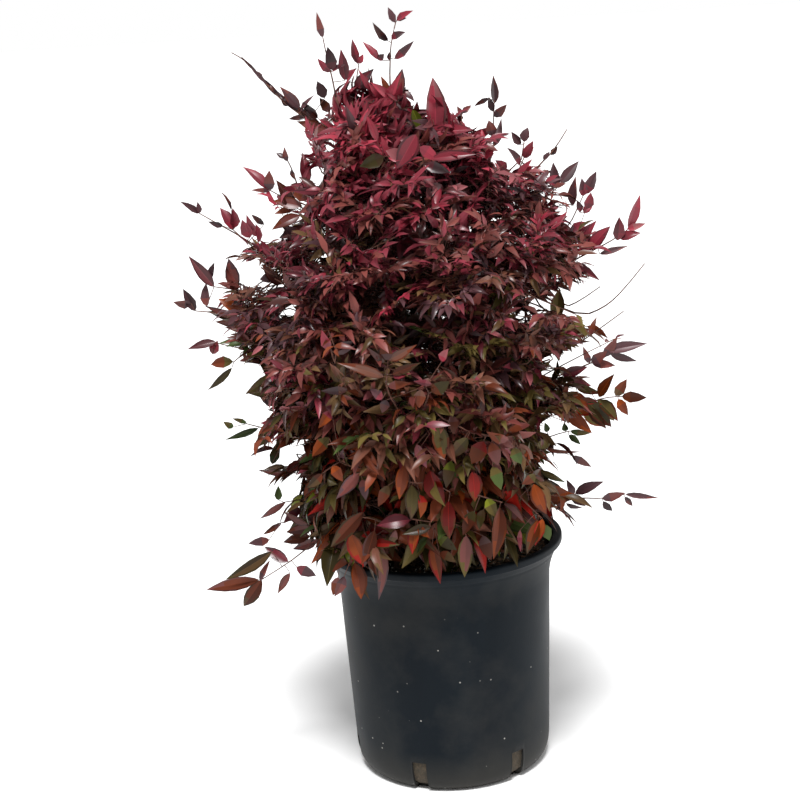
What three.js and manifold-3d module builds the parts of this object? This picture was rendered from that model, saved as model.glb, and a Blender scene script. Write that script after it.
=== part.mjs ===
// Heavenly bamboo in a nursery pot: a clump of unbranched canes standing in potting soil, each cane
// ending in one mass of compound leaves. Millimetres, +Z up, -Y is the front, and the origin is the
// centre of the pot's flat underside.
import * as THREE from "three";
import { mergeVertices } from "three/addons/utils/BufferGeometryUtils.js";
import Module from "manifold-3d";

const wasm = await Module();
wasm.setup();

// ---------------------------------------------------------------- driving dimensions
const seatGap = 0.3; // clearance between pieces that touch
const plantSeed = 1;

const pot = {
  height: 274,
  rimRadius: 140, // outside of the rolled lip
  lipHeight: 8,
  lipStep: 1.6, // how far the lip stands out of the flare below it
  lipWidth: 10.5, // from the outside of the lip to the inside of the wall
  flareHeight: 45, // the wall opens out over this height, lip included
  neckRadius: 124, // where the flare starts
  footRadius: 114.5, // of the wall's line, carried down to the floor
  cornerWidth: 16,
  cornerHeight: 28,
  wall: 2.4,
  sides: 36,
};
const drain = { count: 6, width: 17, height: 37, depth: 34, firstBearing: 249 };
const soil = { belowRim: 17, edgeDrop: 3, edgeWidth: 9 };
const soilTop = pot.height - soil.belowRim;

const cane = {
  sides: 5,
  steps: 5,
  crowding: 1.6, // draws the rings together towards the foot
  tipShare: 0.76, // radius at the tip against the radius above the foot
  flare: 0.5, // extra radius at the foot, as a share
  flareLength: 0.02, // of the cane's length
  upright: 0.38, // how far the cane holds its direction at the foot, and at the tip
  leaning: 0.3,
};

// One ring of canes for each tier. height and radius place the middle of each mass, foot is the ring
// that the canes stand on, rise is the angle at which a cane meets its mass, stem is the length of the
// mass's own stem, fronds is the number of compound leaves that it sets out to grow, and spread is how
// far they turn away from the stem.
const tiers = [
  { name: "top", count: 1, bearing: 180, height: 755, radius: 28, foot: 4, thickness: 9.2 },
  { name: "upper", count: 4, bearing: 58, height: 672, radius: 88, foot: 28, thickness: 8.8 },
  { name: "middle", count: 5, bearing: 18, height: 572, radius: 138, foot: 48, thickness: 8.4 },
  { name: "lower", count: 5, bearing: 54, height: 450, radius: 132, foot: 66, thickness: 8 },
  { name: "skirt", count: 5, bearing: 18, height: 332, radius: 112, foot: 82, thickness: 7.6 },
];
const growth = {
  top: { rise: 86, stem: 80, fronds: 11, spread: 135 },
  upper: { rise: 60, stem: 76, fronds: 9, spread: 125 },
  middle: { rise: 48, stem: 80, fronds: 9, spread: 118 },
  lower: { rise: 36, stem: 76, fronds: 9, spread: 118 },
  skirt: { rise: 26, stem: 64, fronds: 10, spread: 112 },
};
const scatter = { bearing: 6, height: 24, foot: [0.85, 1.1] };
const stem = { behind: 0.72, tipRadius: 2.6, sides: 5, steps: 2, levelling: 0.3 };

// The crown's outline: distance from its own axis against height. The axis lies left of the pot's.
const crown = { centre: new THREE.Vector3(-20, 0, 0), low: 235, high: 860 };
crown.outline = new THREE.SplineCurve(
  [
    [158, 235],
    [170, 310],
    [194, 390],
    [228, 490],
    [228, 600],
    [196, 665],
    [142, 730],
    [108, 785],
    [50, 860],
  ].map(([radius, height]) => new THREE.Vector2(radius, height)),
);

// Shoots that stand out of the outline: bearing in degrees from +X towards +Y, height and distance
// of the tip from the pot's axis. A few more stand out at the front and the back.
const longShoots = [
  [180, 877, 14],
  [180, 879, 104],
  [180, 835, 191],
  [184, 715, 198],
  [176, 682, 272],
  [186, 620, 266],
  [172, 566, 300],
  [184, 517, 278],
  [176, 462, 262],
  [190, 366, 220],
  [204, 226, 290],
  [2, 800, 88],
  [340, 736, 128],
  [4, 730, 163],
  [0, 658, 242],
  [355, 580, 247],
  [4, 494, 242],
  [356, 428, 246],
  [352, 312, 256],
];
const moreShoots = { count: 12, low: 300, high: 810, reach: [16, 40], sideways: 62, seed: 7 };

const leaf = { length: 87, width: 0.42, widest: 0.42, arch: 0.05, fold: 0.045, thickness: 0.022, tipDrop: 0.05 };
const shootLeafLength = 56;
const frond = {
  longest: 190, // from its root to the tip of its last leaflet
  shortest: 62,
  bent: 60, // twigs longer than this bend half way along
  bow: 0.22,
  rootRadius: 1.9,
  tipRadius: 1.6,
  fewest: 3, // leaflets
  turn: 52, // between a leaflet and the twig, in degrees
  turnScatter: 8,
  roll: 14,
  outward: [0.76, 0.5], // how far leaflets face outwards rather than up, low and high in the crown
  droop: [0.5, -0.12], // how far leaves hang, at the pot's rim and at the top
  rootSink: 0.6, // leaflet roots lie this far past the middle of the twig
  sharedSpeck: 0.4, // mm3 that the roots of a pair may share inside the twig
};

// ---------------------------------------------------------------- seeded random numbers
function seededRandom(seed) {
  let state = seed >>> 0;
  return () => {
    state = (state + 0x6d2b79f5) >>> 0;
    let mixed = Math.imul(state ^ (state >>> 15), state | 1);
    mixed = (mixed + Math.imul(mixed ^ (mixed >>> 7), mixed | 61)) ^ mixed;
    return ((mixed ^ (mixed >>> 14)) >>> 0) / 4294967296;
  };
}

const between = (random, low, high) => low + (high - low) * random();
const degrees = THREE.MathUtils.degToRad;
const { lerp, mapLinear, clamp } = THREE.MathUtils;
const upwards = new THREE.Vector3(0, 0, 1);

function radial(bearing, distance = 1, height = 0) {
  return new THREE.Vector3(Math.cos(bearing) * distance, Math.sin(bearing) * distance, height);
}

const squareTo = (vector, axis) => vector.clone().addScaledVector(axis, -vector.dot(axis)).normalize();

// ---------------------------------------------------------------- meshes to solids and back
function toSolid(geometry) {
  const bare = geometry.clone();
  bare.deleteAttribute("normal");
  bare.deleteAttribute("uv");
  const merged = mergeVertices(bare, 1e-4);
  return new wasm.Manifold(
    new wasm.Mesh({
      numProp: 3,
      vertProperties: new Float32Array(merged.attributes.position.array),
      triVerts: new Uint32Array(merged.index.array),
    }),
  );
}

function vertices(solid) {
  const mesh = solid.getMesh();
  const points = [];
  for (let i = 0; i < mesh.numVert; i++) {
    points.push(new THREE.Vector3().fromArray(mesh.vertProperties, i * mesh.numProp));
  }
  return points;
}

function toGeometry(solid) {
  const geometry = new THREE.BufferGeometry().setFromPoints(vertices(solid));
  geometry.setIndex(new THREE.BufferAttribute(new Uint32Array(solid.getMesh().triVerts), 1));
  return geometry;
}

// The one outer body of a fused solid: loose scraps and sealed hollows are left out.
function largestBody(solid) {
  return solid.decompose().reduce((best, body) => (body.volume() > best.volume() ? body : best));
}

// ---------------------------------------------------------------- limbs
// A cylinder bent along a curve. radiusAt gives its radius along the way, and crowding over 1 draws
// its rings together towards the start.
function limbSolid(curve, radiusAt, sides, steps, crowding = 1) {
  const geometry = new THREE.CylinderGeometry(1, 1, 1, sides, steps);
  const chord = curve.getPoint(1).sub(curve.getPoint(0)).normalize();
  const reference = Math.abs(chord.z) > 0.8 ? new THREE.Vector3(1, 0, 0) : upwards;
  const position = geometry.attributes.position;
  for (let i = 0; i < position.count; i++) {
    const share = Math.pow(position.getY(i) + 0.5, crowding);
    const tangent = curve.getTangent(share);
    const side = new THREE.Vector3().crossVectors(reference, tangent).normalize();
    const other = new THREE.Vector3().crossVectors(side, tangent);
    const point = curve
      .getPoint(share)
      .addScaledVector(side, position.getX(i) * radiusAt(share))
      .addScaledVector(other, position.getZ(i) * radiusAt(share));
    position.setXYZ(i, point.x, point.y, point.z);
  }
  return toSolid(geometry).simplify(0.01);
}

const taper = (start, end) => (share) => lerp(start, end, share);

// A point in the middle of such a limb, whose rings stand on the curve with straight sides between.
function limbMiddle(curve, share, steps) {
  const ring = Math.min(steps - 1, Math.floor(share * steps));
  return curve.getPoint(ring / steps).lerp(curve.getPoint((ring + 1) / steps), share * steps - ring);
}

// ---------------------------------------------------------------- pot and soil
// Outside radius of the straight part of the wall.
const wallRadiusAt = (level) => lerp(pot.footRadius, pot.neckRadius, level / (pot.height - pot.flareHeight));

function potOutside() {
  const { height, rimRadius, lipHeight, lipStep, flareHeight, neckRadius } = pot;
  const { footRadius, cornerWidth, cornerHeight } = pot;
  const neckLevel = height - flareHeight;
  const lipLevel = height - lipHeight;
  const path = new THREE.Path();
  path.moveTo(0, 0);
  path.lineTo(footRadius - cornerWidth, 0);
  path.quadraticCurveTo(footRadius, 0, wallRadiusAt(cornerHeight), cornerHeight);
  path.lineTo(neckRadius, neckLevel);
  path.quadraticCurveTo(neckRadius + 3, (neckLevel + height) / 2, rimRadius - lipStep, lipLevel);
  path.lineTo(rimRadius, lipLevel + 1);
  path.lineTo(rimRadius, height - 1.5);
  path.lineTo(rimRadius - 2, height);
  return path.getPoints(4);
}

// The inside runs one wall thickness in, down to the floor and across it to the axis.
function potInside() {
  const { height, rimRadius, lipWidth, flareHeight, neckRadius, footRadius } = pot;
  const { cornerWidth, cornerHeight, wall } = pot;
  return [
    [rimRadius - lipWidth + 1.5, height],
    [rimRadius - lipWidth, height - 2],
    [neckRadius - wall, height - flareHeight + 6],
    [wallRadiusAt(cornerHeight) - wall, cornerHeight],
    [footRadius - wall - 2.5, cornerHeight * 0.36],
    [footRadius - cornerWidth, wall],
    [0, wall],
  ].map(([radius, level]) => new THREE.Vector2(radius, level));
}

function turned(profile) {
  return toSolid(new THREE.LatheGeometry(profile, pot.sides).rotateX(Math.PI / 2));
}

function drainSlot(i) {
  const slot = new THREE.BoxGeometry(drain.depth, drain.width, drain.height * 2);
  slot.translate(pot.footRadius, 0, 0);
  return toSolid(slot.rotateZ(degrees(drain.firstBearing + (360 / drain.count) * i)));
}

function potSolid() {
  const slots = Array.from({ length: drain.count }, (_, i) => drainSlot(i));
  return turned([...potOutside(), ...potInside()]).subtract(wasm.Manifold.union(slots));
}

// The soil fills the pot to a little under its rim and falls away towards the wall.
function soilSolid() {
  const [lipInside, neckInside, ...below] = potInside().slice(1);
  const shoulder = soilTop - soil.edgeDrop;
  const wallShare = (shoulder - neckInside.y) / (lipInside.y - neckInside.y);
  const wallRadius = lerp(neckInside.x, lipInside.x, wallShare);
  const profile = [
    new THREE.Vector2(0, soilTop),
    new THREE.Vector2(wallRadius - soil.edgeWidth, soilTop),
    new THREE.Vector2(wallRadius, shoulder),
    neckInside,
    ...below,
  ];
  for (const point of profile.slice(2)) {
    point.x = Math.max(0, point.x - seatGap);
    if (point.y < shoulder) point.y += seatGap;
  }
  return turned(profile.reverse());
}

// ---------------------------------------------------------------- canes
// A cane stands on the soil on a flat level cut, swells at its foot, rises and leans out to its mass.
function layOutMasses() {
  const masses = [];
  for (const tier of tiers) {
    const { rise, stem: stemLength } = growth[tier.name];
    for (let i = 0; i < tier.count; i++) {
      const random = seededRandom(masses.length * 977 + plantSeed);
      const swing = between(random, -scatter.bearing, scatter.bearing);
      const bearing = degrees(tier.bearing + (360 / tier.count) * i + swing);
      const height = tier.height + between(random, -scatter.height, scatter.height);
      const centre = radial(bearing, tier.radius, height).add(crown.centre);
      const aim = radial(bearing, Math.cos(degrees(rise)), Math.sin(degrees(rise)));
      const tip = centre.clone().addScaledVector(aim, -stemLength * stem.behind);
      const foot = radial(bearing, tier.foot * between(random, ...scatter.foot), soilTop + seatGap);
      const label = tier.count > 1 ? `${tier.name}_${i + 1}` : tier.name;
      masses.push({ tier, label, bearing, centre, aim, tip, foot, random, ...growth[tier.name] });
    }
  }
  return masses;
}

function caneSolid({ tier, foot, tip, aim }) {
  const length = foot.distanceTo(tip);
  const route = new THREE.CubicBezierCurve3(
    foot,
    foot.clone().addScaledVector(upwards, length * cane.upright),
    tip.clone().addScaledVector(aim, -length * cane.leaning),
    tip,
  );
  const radius = tier.thickness / 2;
  const straight = taper(radius, radius * cane.tipShare);
  const radiusAt = (share) => straight(share) + radius * cane.flare * Math.exp(-share / cane.flareLength);
  return limbSolid(route, radiusAt, cane.sides, cane.steps, cane.crowding);
}

// ---------------------------------------------------------------- leaflets
// One leaflet of eight faces, folded along its midrib and arched, base at 0 and tip at 1 on X.
function unitLeaflet() {
  const { widest, arch, fold, thickness, tipDrop } = leaf;
  const corners = new Map([
    ["1,0,0", [1, 0, -tipDrop]],
    ["-1,0,0", [0, 0, 0]],
    ["0,1,0", [widest, 0.5, arch - fold]],
    ["0,-1,0", [widest, -0.5, arch - fold]],
    ["0,0,1", [widest, 0, arch]],
    ["0,0,-1", [widest, 0, arch - thickness]],
  ]);
  const geometry = new THREE.OctahedronGeometry(1);
  const position = geometry.attributes.position;
  for (let i = 0; i < position.count; i++) {
    const corner = [position.getX(i), position.getY(i), position.getZ(i)];
    position.setXYZ(i, ...corners.get(corner.map((value) => Math.round(value) + 0).join()));
  }
  return toSolid(geometry);
}
const leafletShape = unitLeaflet();

function leafletSolid({ point, direction, normal }, length) {
  const full = length + frond.rootSink;
  const across = new THREE.Vector3().crossVectors(normal, direction).normalize();
  const out = new THREE.Vector3().crossVectors(direction, across);
  const matrix = new THREE.Matrix4()
    .makeBasis(
      direction.clone().multiplyScalar(full),
      across.multiplyScalar(length * leaf.width),
      out.multiplyScalar(full),
    )
    .setPosition(point.clone().addScaledVector(direction, -frond.rootSink));
  return leafletShape.transform(matrix.elements);
}

// ---------------------------------------------------------------- the crown's spaces
function outlineRadius(height) {
  if (height < crown.low || height > crown.high) return 0;
  let [low, high] = [0, 1];
  for (let i = 0; i < 24; i++) {
    const middle = (low + high) / 2;
    if (crown.outline.getPoint(middle).y < height) low = middle;
    else high = middle;
  }
  return crown.outline.getPoint(low).x;
}

const withinOutline = (point) =>
  Math.hypot(point.x - crown.centre.x, point.y - crown.centre.y) < outlineRadius(point.z);

// A mass keeps to the points that lie nearer its own centre than any other mass's.
function withinCell(point, mass, masses) {
  const own = point.distanceToSquared(mass.centre);
  return masses.every((other) => {
    const margin = 2 * seatGap * mass.centre.distanceTo(other.centre);
    return other === mass || own + margin < point.distanceToSquared(other.centre);
  });
}

// How far a straight line from a point stays where it fits.
function reachAlong(origin, direction, fits) {
  const step = 5;
  let reach = 0;
  while (reach < frond.longest && fits(origin.clone().addScaledVector(direction, reach + step))) reach += step;
  return reach;
}

// ---------------------------------------------------------------- fronds
const droopAt = (height) => lerp(...frond.droop, clamp(mapLinear(height, 310, 760, 0, 1), 0, 1));

// Twigs sag near the pot and bow upwards high in the crown, on their way to the tip.
function twigCurve(start, tip, leafLength) {
  const way = tip.clone().sub(start);
  const length = Math.max(frond.shortest * 0.3, way.length() - leafLength * 0.97);
  const end = start.clone().addScaledVector(way.normalize(), length);
  const middle = start.clone().lerp(end, 0.5);
  middle.z += length * frond.bow * droopAt(start.z);
  return new THREE.QuadraticBezierCurve3(start, middle, end);
}

const twigSteps = (curve) => (curve.getLength() > frond.bent ? 2 : 1);

// Leaflets turn their faces outwards and up, so this is the way a leaflet at a point would face.
function facingAt(point) {
  const outward = point.clone().sub(crown.centre).setZ(0).normalize();
  const share = mapLinear(point.z, crown.low, crown.high, ...frond.outward);
  return outward.multiplyScalar(share).addScaledVector(upwards, 1 - share).normalize();
}

// hand is 0 for the leaflet at the twig's tip, and -1 or 1 for one of a pair.
function placeLeaflet(curve, share, hand, size, random) {
  const steps = twigSteps(curve);
  const point = limbMiddle(curve, share, steps);
  const tangent = limbMiddle(curve, share + 0.01, steps).sub(point).normalize();
  const facing = facingAt(point);
  const turn = hand * degrees(frond.turn + between(random, -frond.turnScatter, frond.turnScatter));
  const direction = tangent.clone().applyAxisAngle(squareTo(facing, tangent), turn);
  direction.z -= (droopAt(point.z) + 0.12) * between(random, 0.4, 1.2);
  direction.normalize();
  const roll = degrees(between(random, -frond.roll, frond.roll));
  const normal = squareTo(facing, direction).applyAxisAngle(direction, roll);
  return { point, direction, normal, length: hand ? size * between(random, 0.9, 1.1) : size };
}

// The leaflets of one frond: one at the tip of its twig and a pair at each joint.
function frondLeaflets(curve, size, random) {
  const twigLength = curve.getLength();
  const joints = twigLength > 84 ? [0.86, 0.58, 0.3] : twigLength > 40 ? [0.82, 0.42] : [0.72];
  return [
    placeLeaflet(curve, 0.98, 0, size, random),
    ...joints.flatMap((share) => [-1, 1].map((hand) => placeLeaflet(curve, share, hand, size, random))),
  ];
}

const crosses = (solid, others) => others.some((other) => solid.intersect(other).volume() > frond.sharedSpeck);

// Adds a frond to the mass, unless it would leave its space, touch a limb or be nearly bare.
function growFrond(mass, curve, size, fits) {
  const twig = limbSolid(curve, taper(frond.rootRadius, frond.tipRadius), 3, twigSteps(curve));
  const stays = (solid) => vertices(solid).every(fits) && mass.clearOfLimbs(solid);
  if (!stays(twig) || crosses(twig, mass.leaflets)) return false;
  const grown = [];
  for (const placed of frondLeaflets(curve, size, mass.random)) {
    for (const share of [1, 0.86, 0.74, 0.62]) {
      const leaflet = leafletSolid(placed, placed.length * share);
      if (!stays(leaflet) || crosses(leaflet, [...mass.twigs, ...mass.leaflets, ...grown])) continue;
      grown.push(leaflet);
      break;
    }
  }
  if (grown.length < frond.fewest) return false;
  mass.twigs.push(twig);
  mass.leaflets.push(...grown);
  return true;
}

// ---------------------------------------------------------------- masses
// The mass's stem carries on from its cane's tip and levels out a little.
function stemCurve(mass) {
  const half = mass.stem / 2;
  const start = mass.tip.clone().addScaledVector(mass.aim, seatGap);
  const bend = start.clone().addScaledVector(mass.aim, half);
  const onward = mass.aim.clone().lerp(radial(mass.bearing), stem.levelling).normalize();
  return new THREE.QuadraticBezierCurve3(start, bend, bend.clone().addScaledVector(onward, half));
}

// Fronds turn round the stem by the golden angle, the first nearest its tip, and each reaches out to
// the edge of the mass's space.
function growFronds(mass, route, fits) {
  const golden = Math.PI * (3 - Math.sqrt(5));
  const side = new THREE.Vector3().crossVectors(upwards, radial(mass.bearing)).normalize();
  const over = new THREE.Vector3().crossVectors(mass.aim, side).normalize();
  for (let k = 0; k < mass.fronds; k++) {
    const along = (k + 0.5) / mass.fronds;
    const polar = degrees(lerp(12, mass.spread, along));
    const turn = k * golden + between(mass.random, -0.3, 0.3) + mass.bearing * 3;
    const direction = mass.aim
      .clone()
      .multiplyScalar(Math.cos(polar))
      .addScaledVector(side, Math.sin(polar) * Math.cos(turn))
      .addScaledVector(over, Math.sin(polar) * Math.sin(turn));
    const start = limbMiddle(route, 1 - 0.8 * along, stem.steps);
    const reach = reachAlong(start, direction, fits);
    for (const share of [1, 0.85, 0.7].filter((part) => reach * part > frond.shortest)) {
      const tip = start.clone().addScaledVector(direction, reach * share);
      if (growFrond(mass, twigCurve(start, tip, leaf.length), leaf.length, fits)) break;
    }
  }
}

function massSolid(mass, masses, limbs, shootTips) {
  const route = stemCurve(mass);
  const startRadius = (mass.tier.thickness / 2) * cane.tipShare;
  mass.twigs = [limbSolid(route, taper(startRadius, stem.tipRadius), stem.sides, stem.steps)];
  mass.leaflets = [];
  mass.clearOfLimbs = (solid) => solid.minGap(limbs, 2 * seatGap) >= 2 * seatGap;
  const inCell = (point) => withinCell(point, mass, masses);
  for (const tip of shootTips.filter(inCell)) {
    const start = limbMiddle(route, between(mass.random, 0.5, 0.95), stem.steps);
    growFrond(mass, twigCurve(start, tip, shootLeafLength), shootLeafLength, inCell);
  }
  growFronds(mass, route, (point) => inCell(point) && withinOutline(point));
  return largestBody(wasm.Manifold.union([...mass.twigs, ...mass.leaflets])).simplify(0.04);
}

function allShootTips() {
  const tips = longShoots.map(([bearing, height, reach]) => radial(degrees(bearing), reach, height));
  const { count, low, high, reach, sideways, seed } = moreShoots;
  const random = seededRandom(seed);
  for (let i = 0; i < count; i++) {
    const bearing = degrees((i % 2 ? 90 : 270) + between(random, -sideways, sideways));
    const height = lerp(low, high, (i + 0.5) / count);
    const distance = outlineRadius(height) + between(random, ...reach);
    tips.push(radial(bearing, distance, height).add(crown.centre));
  }
  return tips;
}

// ---------------------------------------------------------------- assembly
const finish = (color, roughness) => new THREE.MeshStandardMaterial({ color, roughness, metalness: 0 });
const finishes = {
  pot: finish(0x2a2d2f, 0.5),
  soil: finish(0x2b2018, 1),
  cane: finish(0x5a4636, 0.8),
  top: finish(0x7d2438, 0.5),
  upper: finish(0x74202f, 0.5),
  middle: finish(0x63232b, 0.5),
  lower: finish(0x5c3325, 0.5),
  skirt: finish(0x803a22, 0.5),
};

function buildPlant() {
  const plant = new THREE.Group();
  const add = (name, solid, material) => {
    const mesh = new THREE.Mesh(toGeometry(solid), material);
    mesh.name = name;
    plant.add(mesh);
    return solid;
  };
  const masses = layOutMasses();
  const shootTips = allShootTips();
  const limbs = [
    add("pot", potSolid(), finishes.pot),
    add("soil", soilSolid(), finishes.soil),
    ...masses.map((mass) => add(`cane_${mass.label}`, caneSolid(mass), finishes.cane)),
  ];
  const allLimbs = wasm.Manifold.union(limbs);
  for (const mass of masses) {
    add(`foliage_${mass.label}`, massSolid(mass, masses, allLimbs, shootTips), finishes[mass.tier.name]);
  }
  return plant;
}

export default buildPlant();
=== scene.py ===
import math

import bpy
import numpy as np
from mathutils import Matrix, Vector


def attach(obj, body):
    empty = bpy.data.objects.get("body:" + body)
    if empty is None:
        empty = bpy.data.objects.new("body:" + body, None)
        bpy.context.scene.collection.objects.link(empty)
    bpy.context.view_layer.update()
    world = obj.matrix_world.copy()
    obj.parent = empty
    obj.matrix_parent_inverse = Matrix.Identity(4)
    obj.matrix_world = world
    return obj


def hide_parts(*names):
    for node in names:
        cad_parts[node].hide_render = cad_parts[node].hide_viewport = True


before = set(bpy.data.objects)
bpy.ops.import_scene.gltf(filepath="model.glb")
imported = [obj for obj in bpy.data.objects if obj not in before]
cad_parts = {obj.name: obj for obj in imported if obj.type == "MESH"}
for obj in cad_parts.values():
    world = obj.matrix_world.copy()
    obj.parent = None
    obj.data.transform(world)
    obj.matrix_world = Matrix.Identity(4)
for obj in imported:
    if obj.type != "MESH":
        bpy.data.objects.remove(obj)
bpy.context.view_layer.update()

metre = 0.001  # sizes below are in millimetres, and meshes in metres
upwards = np.array([0.0, 0.0, 1.0])
fullTurn = 2 * math.pi


def unit(vectors):
    # each row divided by its own length
    return vectors / np.maximum(np.linalg.norm(vectors, axis=-1, keepdims=True), 1e-9)


def squareTo(vectors, axes):
    # v - k (v.k), made one long: the part of each vector at right angles to its axis
    return unit(vectors - axes * np.sum(vectors * axes, axis=-1, keepdims=True))


def turnAbout(vectors, axes, angles):
    # v cos a + (k x v) sin a + k (k.v)(1 - cos a)
    cosine, sine = np.cos(angles)[..., None], np.sin(angles)[..., None]
    along = axes * np.sum(axes * vectors, axis=-1, keepdims=True)
    return vectors * cosine + np.cross(axes, vectors) * sine + along * (1 - cosine)


def radial(bearing, distance=1.0, height=0.0):
    # (d cos b, d sin b, h)
    bearing, distance, height = np.broadcast_arrays(bearing, distance, height)
    return np.stack([distance * np.cos(bearing), distance * np.sin(bearing), height], axis=-1)


def mixValues(low, high, share):
    return low + (high - low) * share


def gridFaces(rows, columns, closed=False):
    # quads between neighbouring rows and columns, where closed joins the last column to the first
    across = np.arange(columns if closed else columns - 1)
    first = np.arange(rows - 1)[:, None] * columns
    left, right = first + across, first + (across + 1) % columns
    return np.stack([left, right, right + columns, left + columns], axis=-1).reshape(-1, 4)


def repeatFaces(faces, count, pointsEach):
    # the same faces for every copy, each copy's corners moved on by the points before it
    return (faces[None] + (np.arange(count) * pointsEach)[:, None, None]).reshape(-1, faces.shape[1])


def ringsAround(points, side, other, around, radius):
    # a ring about each point of a path: p + r (s cos a + o sin a)
    spokes = side[..., None, :] * np.cos(around)[:, None] + other[..., None, :] * np.sin(around)[:, None]
    return points[..., None, :] + spokes * radius[..., None]


def tubeFaces(rings, sides, count):
    # the walls of each tube, and one face over each of its ends
    walls = repeatFaces(gridFaces(rings, sides, closed=True), count, rings * sides)
    start = repeatFaces(np.arange(sides)[None, ::-1], count, rings * sides)
    end = repeatFaces((np.arange(sides) + (rings - 1) * sides)[None], count, rings * sides)
    return [walls, start, end]


def addObject(name, data):
    thing = bpy.data.objects.new(name, data)
    bpy.context.scene.collection.objects.link(thing)
    return thing


def placeMatrix(right, top, back, place):
    # one column each for the thing's own right, top and back, and for its place in metres
    matrix = np.eye(4)
    matrix[:3] = np.stack([right, top, back, place], axis=1)
    return Matrix(matrix.tolist())


def makePiece(name, points, faceGroups, materials, slots=None, smooth=True):
    # faceGroups holds one array for each number of corners, and slots one material number per face
    corners = np.concatenate([group.ravel() for group in faceGroups]).astype(np.int32)
    totals = np.concatenate([np.full(len(group), group.shape[1]) for group in faceGroups])
    starts = np.concatenate([[0], np.cumsum(totals)[:-1]]).astype(np.int32)
    mesh = bpy.data.meshes.new(name)
    mesh.vertices.add(len(points))
    mesh.vertices.foreach_set("co", (np.asarray(points) * metre).astype(np.float32).ravel())
    mesh.loops.add(len(corners))
    mesh.loops.foreach_set("vertex_index", corners)
    mesh.polygons.add(len(totals))
    mesh.polygons.foreach_set("loop_start", starts)
    if slots is not None:
        mesh.polygons.foreach_set("material_index", np.asarray(slots, dtype=np.int32))
    mesh.polygons.foreach_set("use_smooth", np.full(len(totals), smooth))
    mesh.update(calc_edges=True)
    mesh.validate()
    for material in materials:
        mesh.materials.append(material)
    return addObject(name, mesh)


def newMaterial(name):
    material = bpy.data.materials.new(name)
    material.use_nodes = True
    return material, material.node_tree, material.node_tree.nodes["Principled BSDF"]


# Camera and light
cameraPlan = {
    "distance": 2000, "elevation": 20.07, "lookedRound": 210, "pitch": 13.67, "yaw": -1.2, "roll": 3.59,
    "lens": 75.6, "sensor": 36,
}
studio = {
    "ambient": 0.48, "backdrop": 1.0,
    "sun": {"from": (-0.05, -0.75, 1.75), "strength": 4.0, "softness": 16},
    "sideLight": {"place": (2.3, -0.1, 0.8), "aimedAt": (0, 0, 0.45), "size": 1.2, "power": 12},
    "floor": {"colour": (0.95, 0.95, 0.95), "roughness": 0.9, "reach": 40000, "level": -0.2},
}


def makeCamera(plan):
    # placed on a sphere round the plant, then turned by the roll about its line of sight
    elevation, pitch, yaw, roll = (math.radians(plan[key]) for key in ("elevation", "pitch", "yaw", "roll"))
    place = np.array([0, -math.cos(elevation), math.sin(elevation)]) * plan["distance"]
    place[2] += plan["lookedRound"]
    ahead = np.array([math.sin(yaw) * math.cos(pitch), math.cos(yaw) * math.cos(pitch), -math.sin(pitch)])
    level = unit(np.cross(ahead, upwards))
    over = np.cross(level, ahead)
    right = math.cos(roll) * level - math.sin(roll) * over
    top = math.sin(roll) * level + math.cos(roll) * over
    data = bpy.data.cameras.new("camera")
    data.lens, data.sensor_width = plan["lens"], plan["sensor"]
    camera = addObject("camera", data)
    camera.matrix_world = placeMatrix(right, top, -ahead, place * metre)
    bpy.context.scene.camera = camera


def makeWorld(plan):
    # the walls are white to the eye, and dimmer as a source of light
    world = bpy.data.worlds.new("studio")
    world.use_nodes = True
    tree = world.node_tree
    seen = tree.nodes.new("ShaderNodeLightPath")
    strength = tree.nodes.new("ShaderNodeMapRange")
    strength.inputs["To Min"].default_value = plan["ambient"]
    strength.inputs["To Max"].default_value = plan["backdrop"]
    tree.links.new(seen.outputs["Is Camera Ray"], strength.inputs["Value"])
    tree.links.new(strength.outputs["Result"], tree.nodes["Background"].inputs["Strength"])
    tree.nodes["Background"].inputs["Color"].default_value = (1, 1, 1, 1)
    bpy.context.scene.world = world


def makeSun(plan):
    data = bpy.data.lights.new("sunLight", "SUN")
    data.energy, data.angle = plan["strength"], math.radians(plan["softness"])
    sun = addObject("sunLight", data)
    sun.rotation_mode = "QUATERNION"
    sun.rotation_quaternion = Vector(plan["from"]).to_track_quat("Z", "Y")


def makeSideLight(plan):
    data = bpy.data.lights.new("rightLight", "AREA")
    data.size, data.energy = plan["size"], plan["power"]
    lamp = addObject("rightLight", data)
    place = np.array(plan["place"])
    aim = unit(np.array(plan["aimedAt"]) - place)
    side = unit(np.cross(aim, upwards))
    lamp.matrix_world = placeMatrix(side, np.cross(side, aim), -aim, place)


def makeFloor(plan):
    material, _, shader = newMaterial("paleFloor")
    shader.inputs["Base Color"].default_value = (*plan["colour"], 1)
    shader.inputs["Roughness"].default_value = plan["roughness"]
    signs = np.array([(-1, -1), (1, -1), (1, 1), (-1, 1)])
    corners = np.column_stack([signs * plan["reach"], np.full(4, plan["level"])])
    return makePiece("floor", corners, [np.array([[0, 1, 2, 3]])], [material], smooth=False)


makeCamera(cameraPlan)
makeWorld(studio)
makeSun(studio["sun"])
makeSideLight(studio["sideLight"])
makeFloor(studio["floor"])
bpy.context.scene.view_settings.view_transform = "Standard"
print("camera and studio ready")


# The plant's plan: the same named sizes and the same seeded layout as its solids
def seededDraws(seed, count):
    # a counter whose bits are mixed by two multiplications, each kept to 32 bits
    draws, state, step, lowBits, span = [], seed, 0x6D2B79F5, 0xFFFFFFFF, 2**32
    for _ in range(count):
        state = (state + step) & lowBits
        mixed = ((state ^ (state >> 15)) * (state | 1)) & lowBits
        mixed = ((mixed + (mixed ^ (mixed >> 7)) * (mixed | 61)) & lowBits) ^ mixed
        draws.append((mixed ^ (mixed >> 14)) / span)
    return draws


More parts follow.
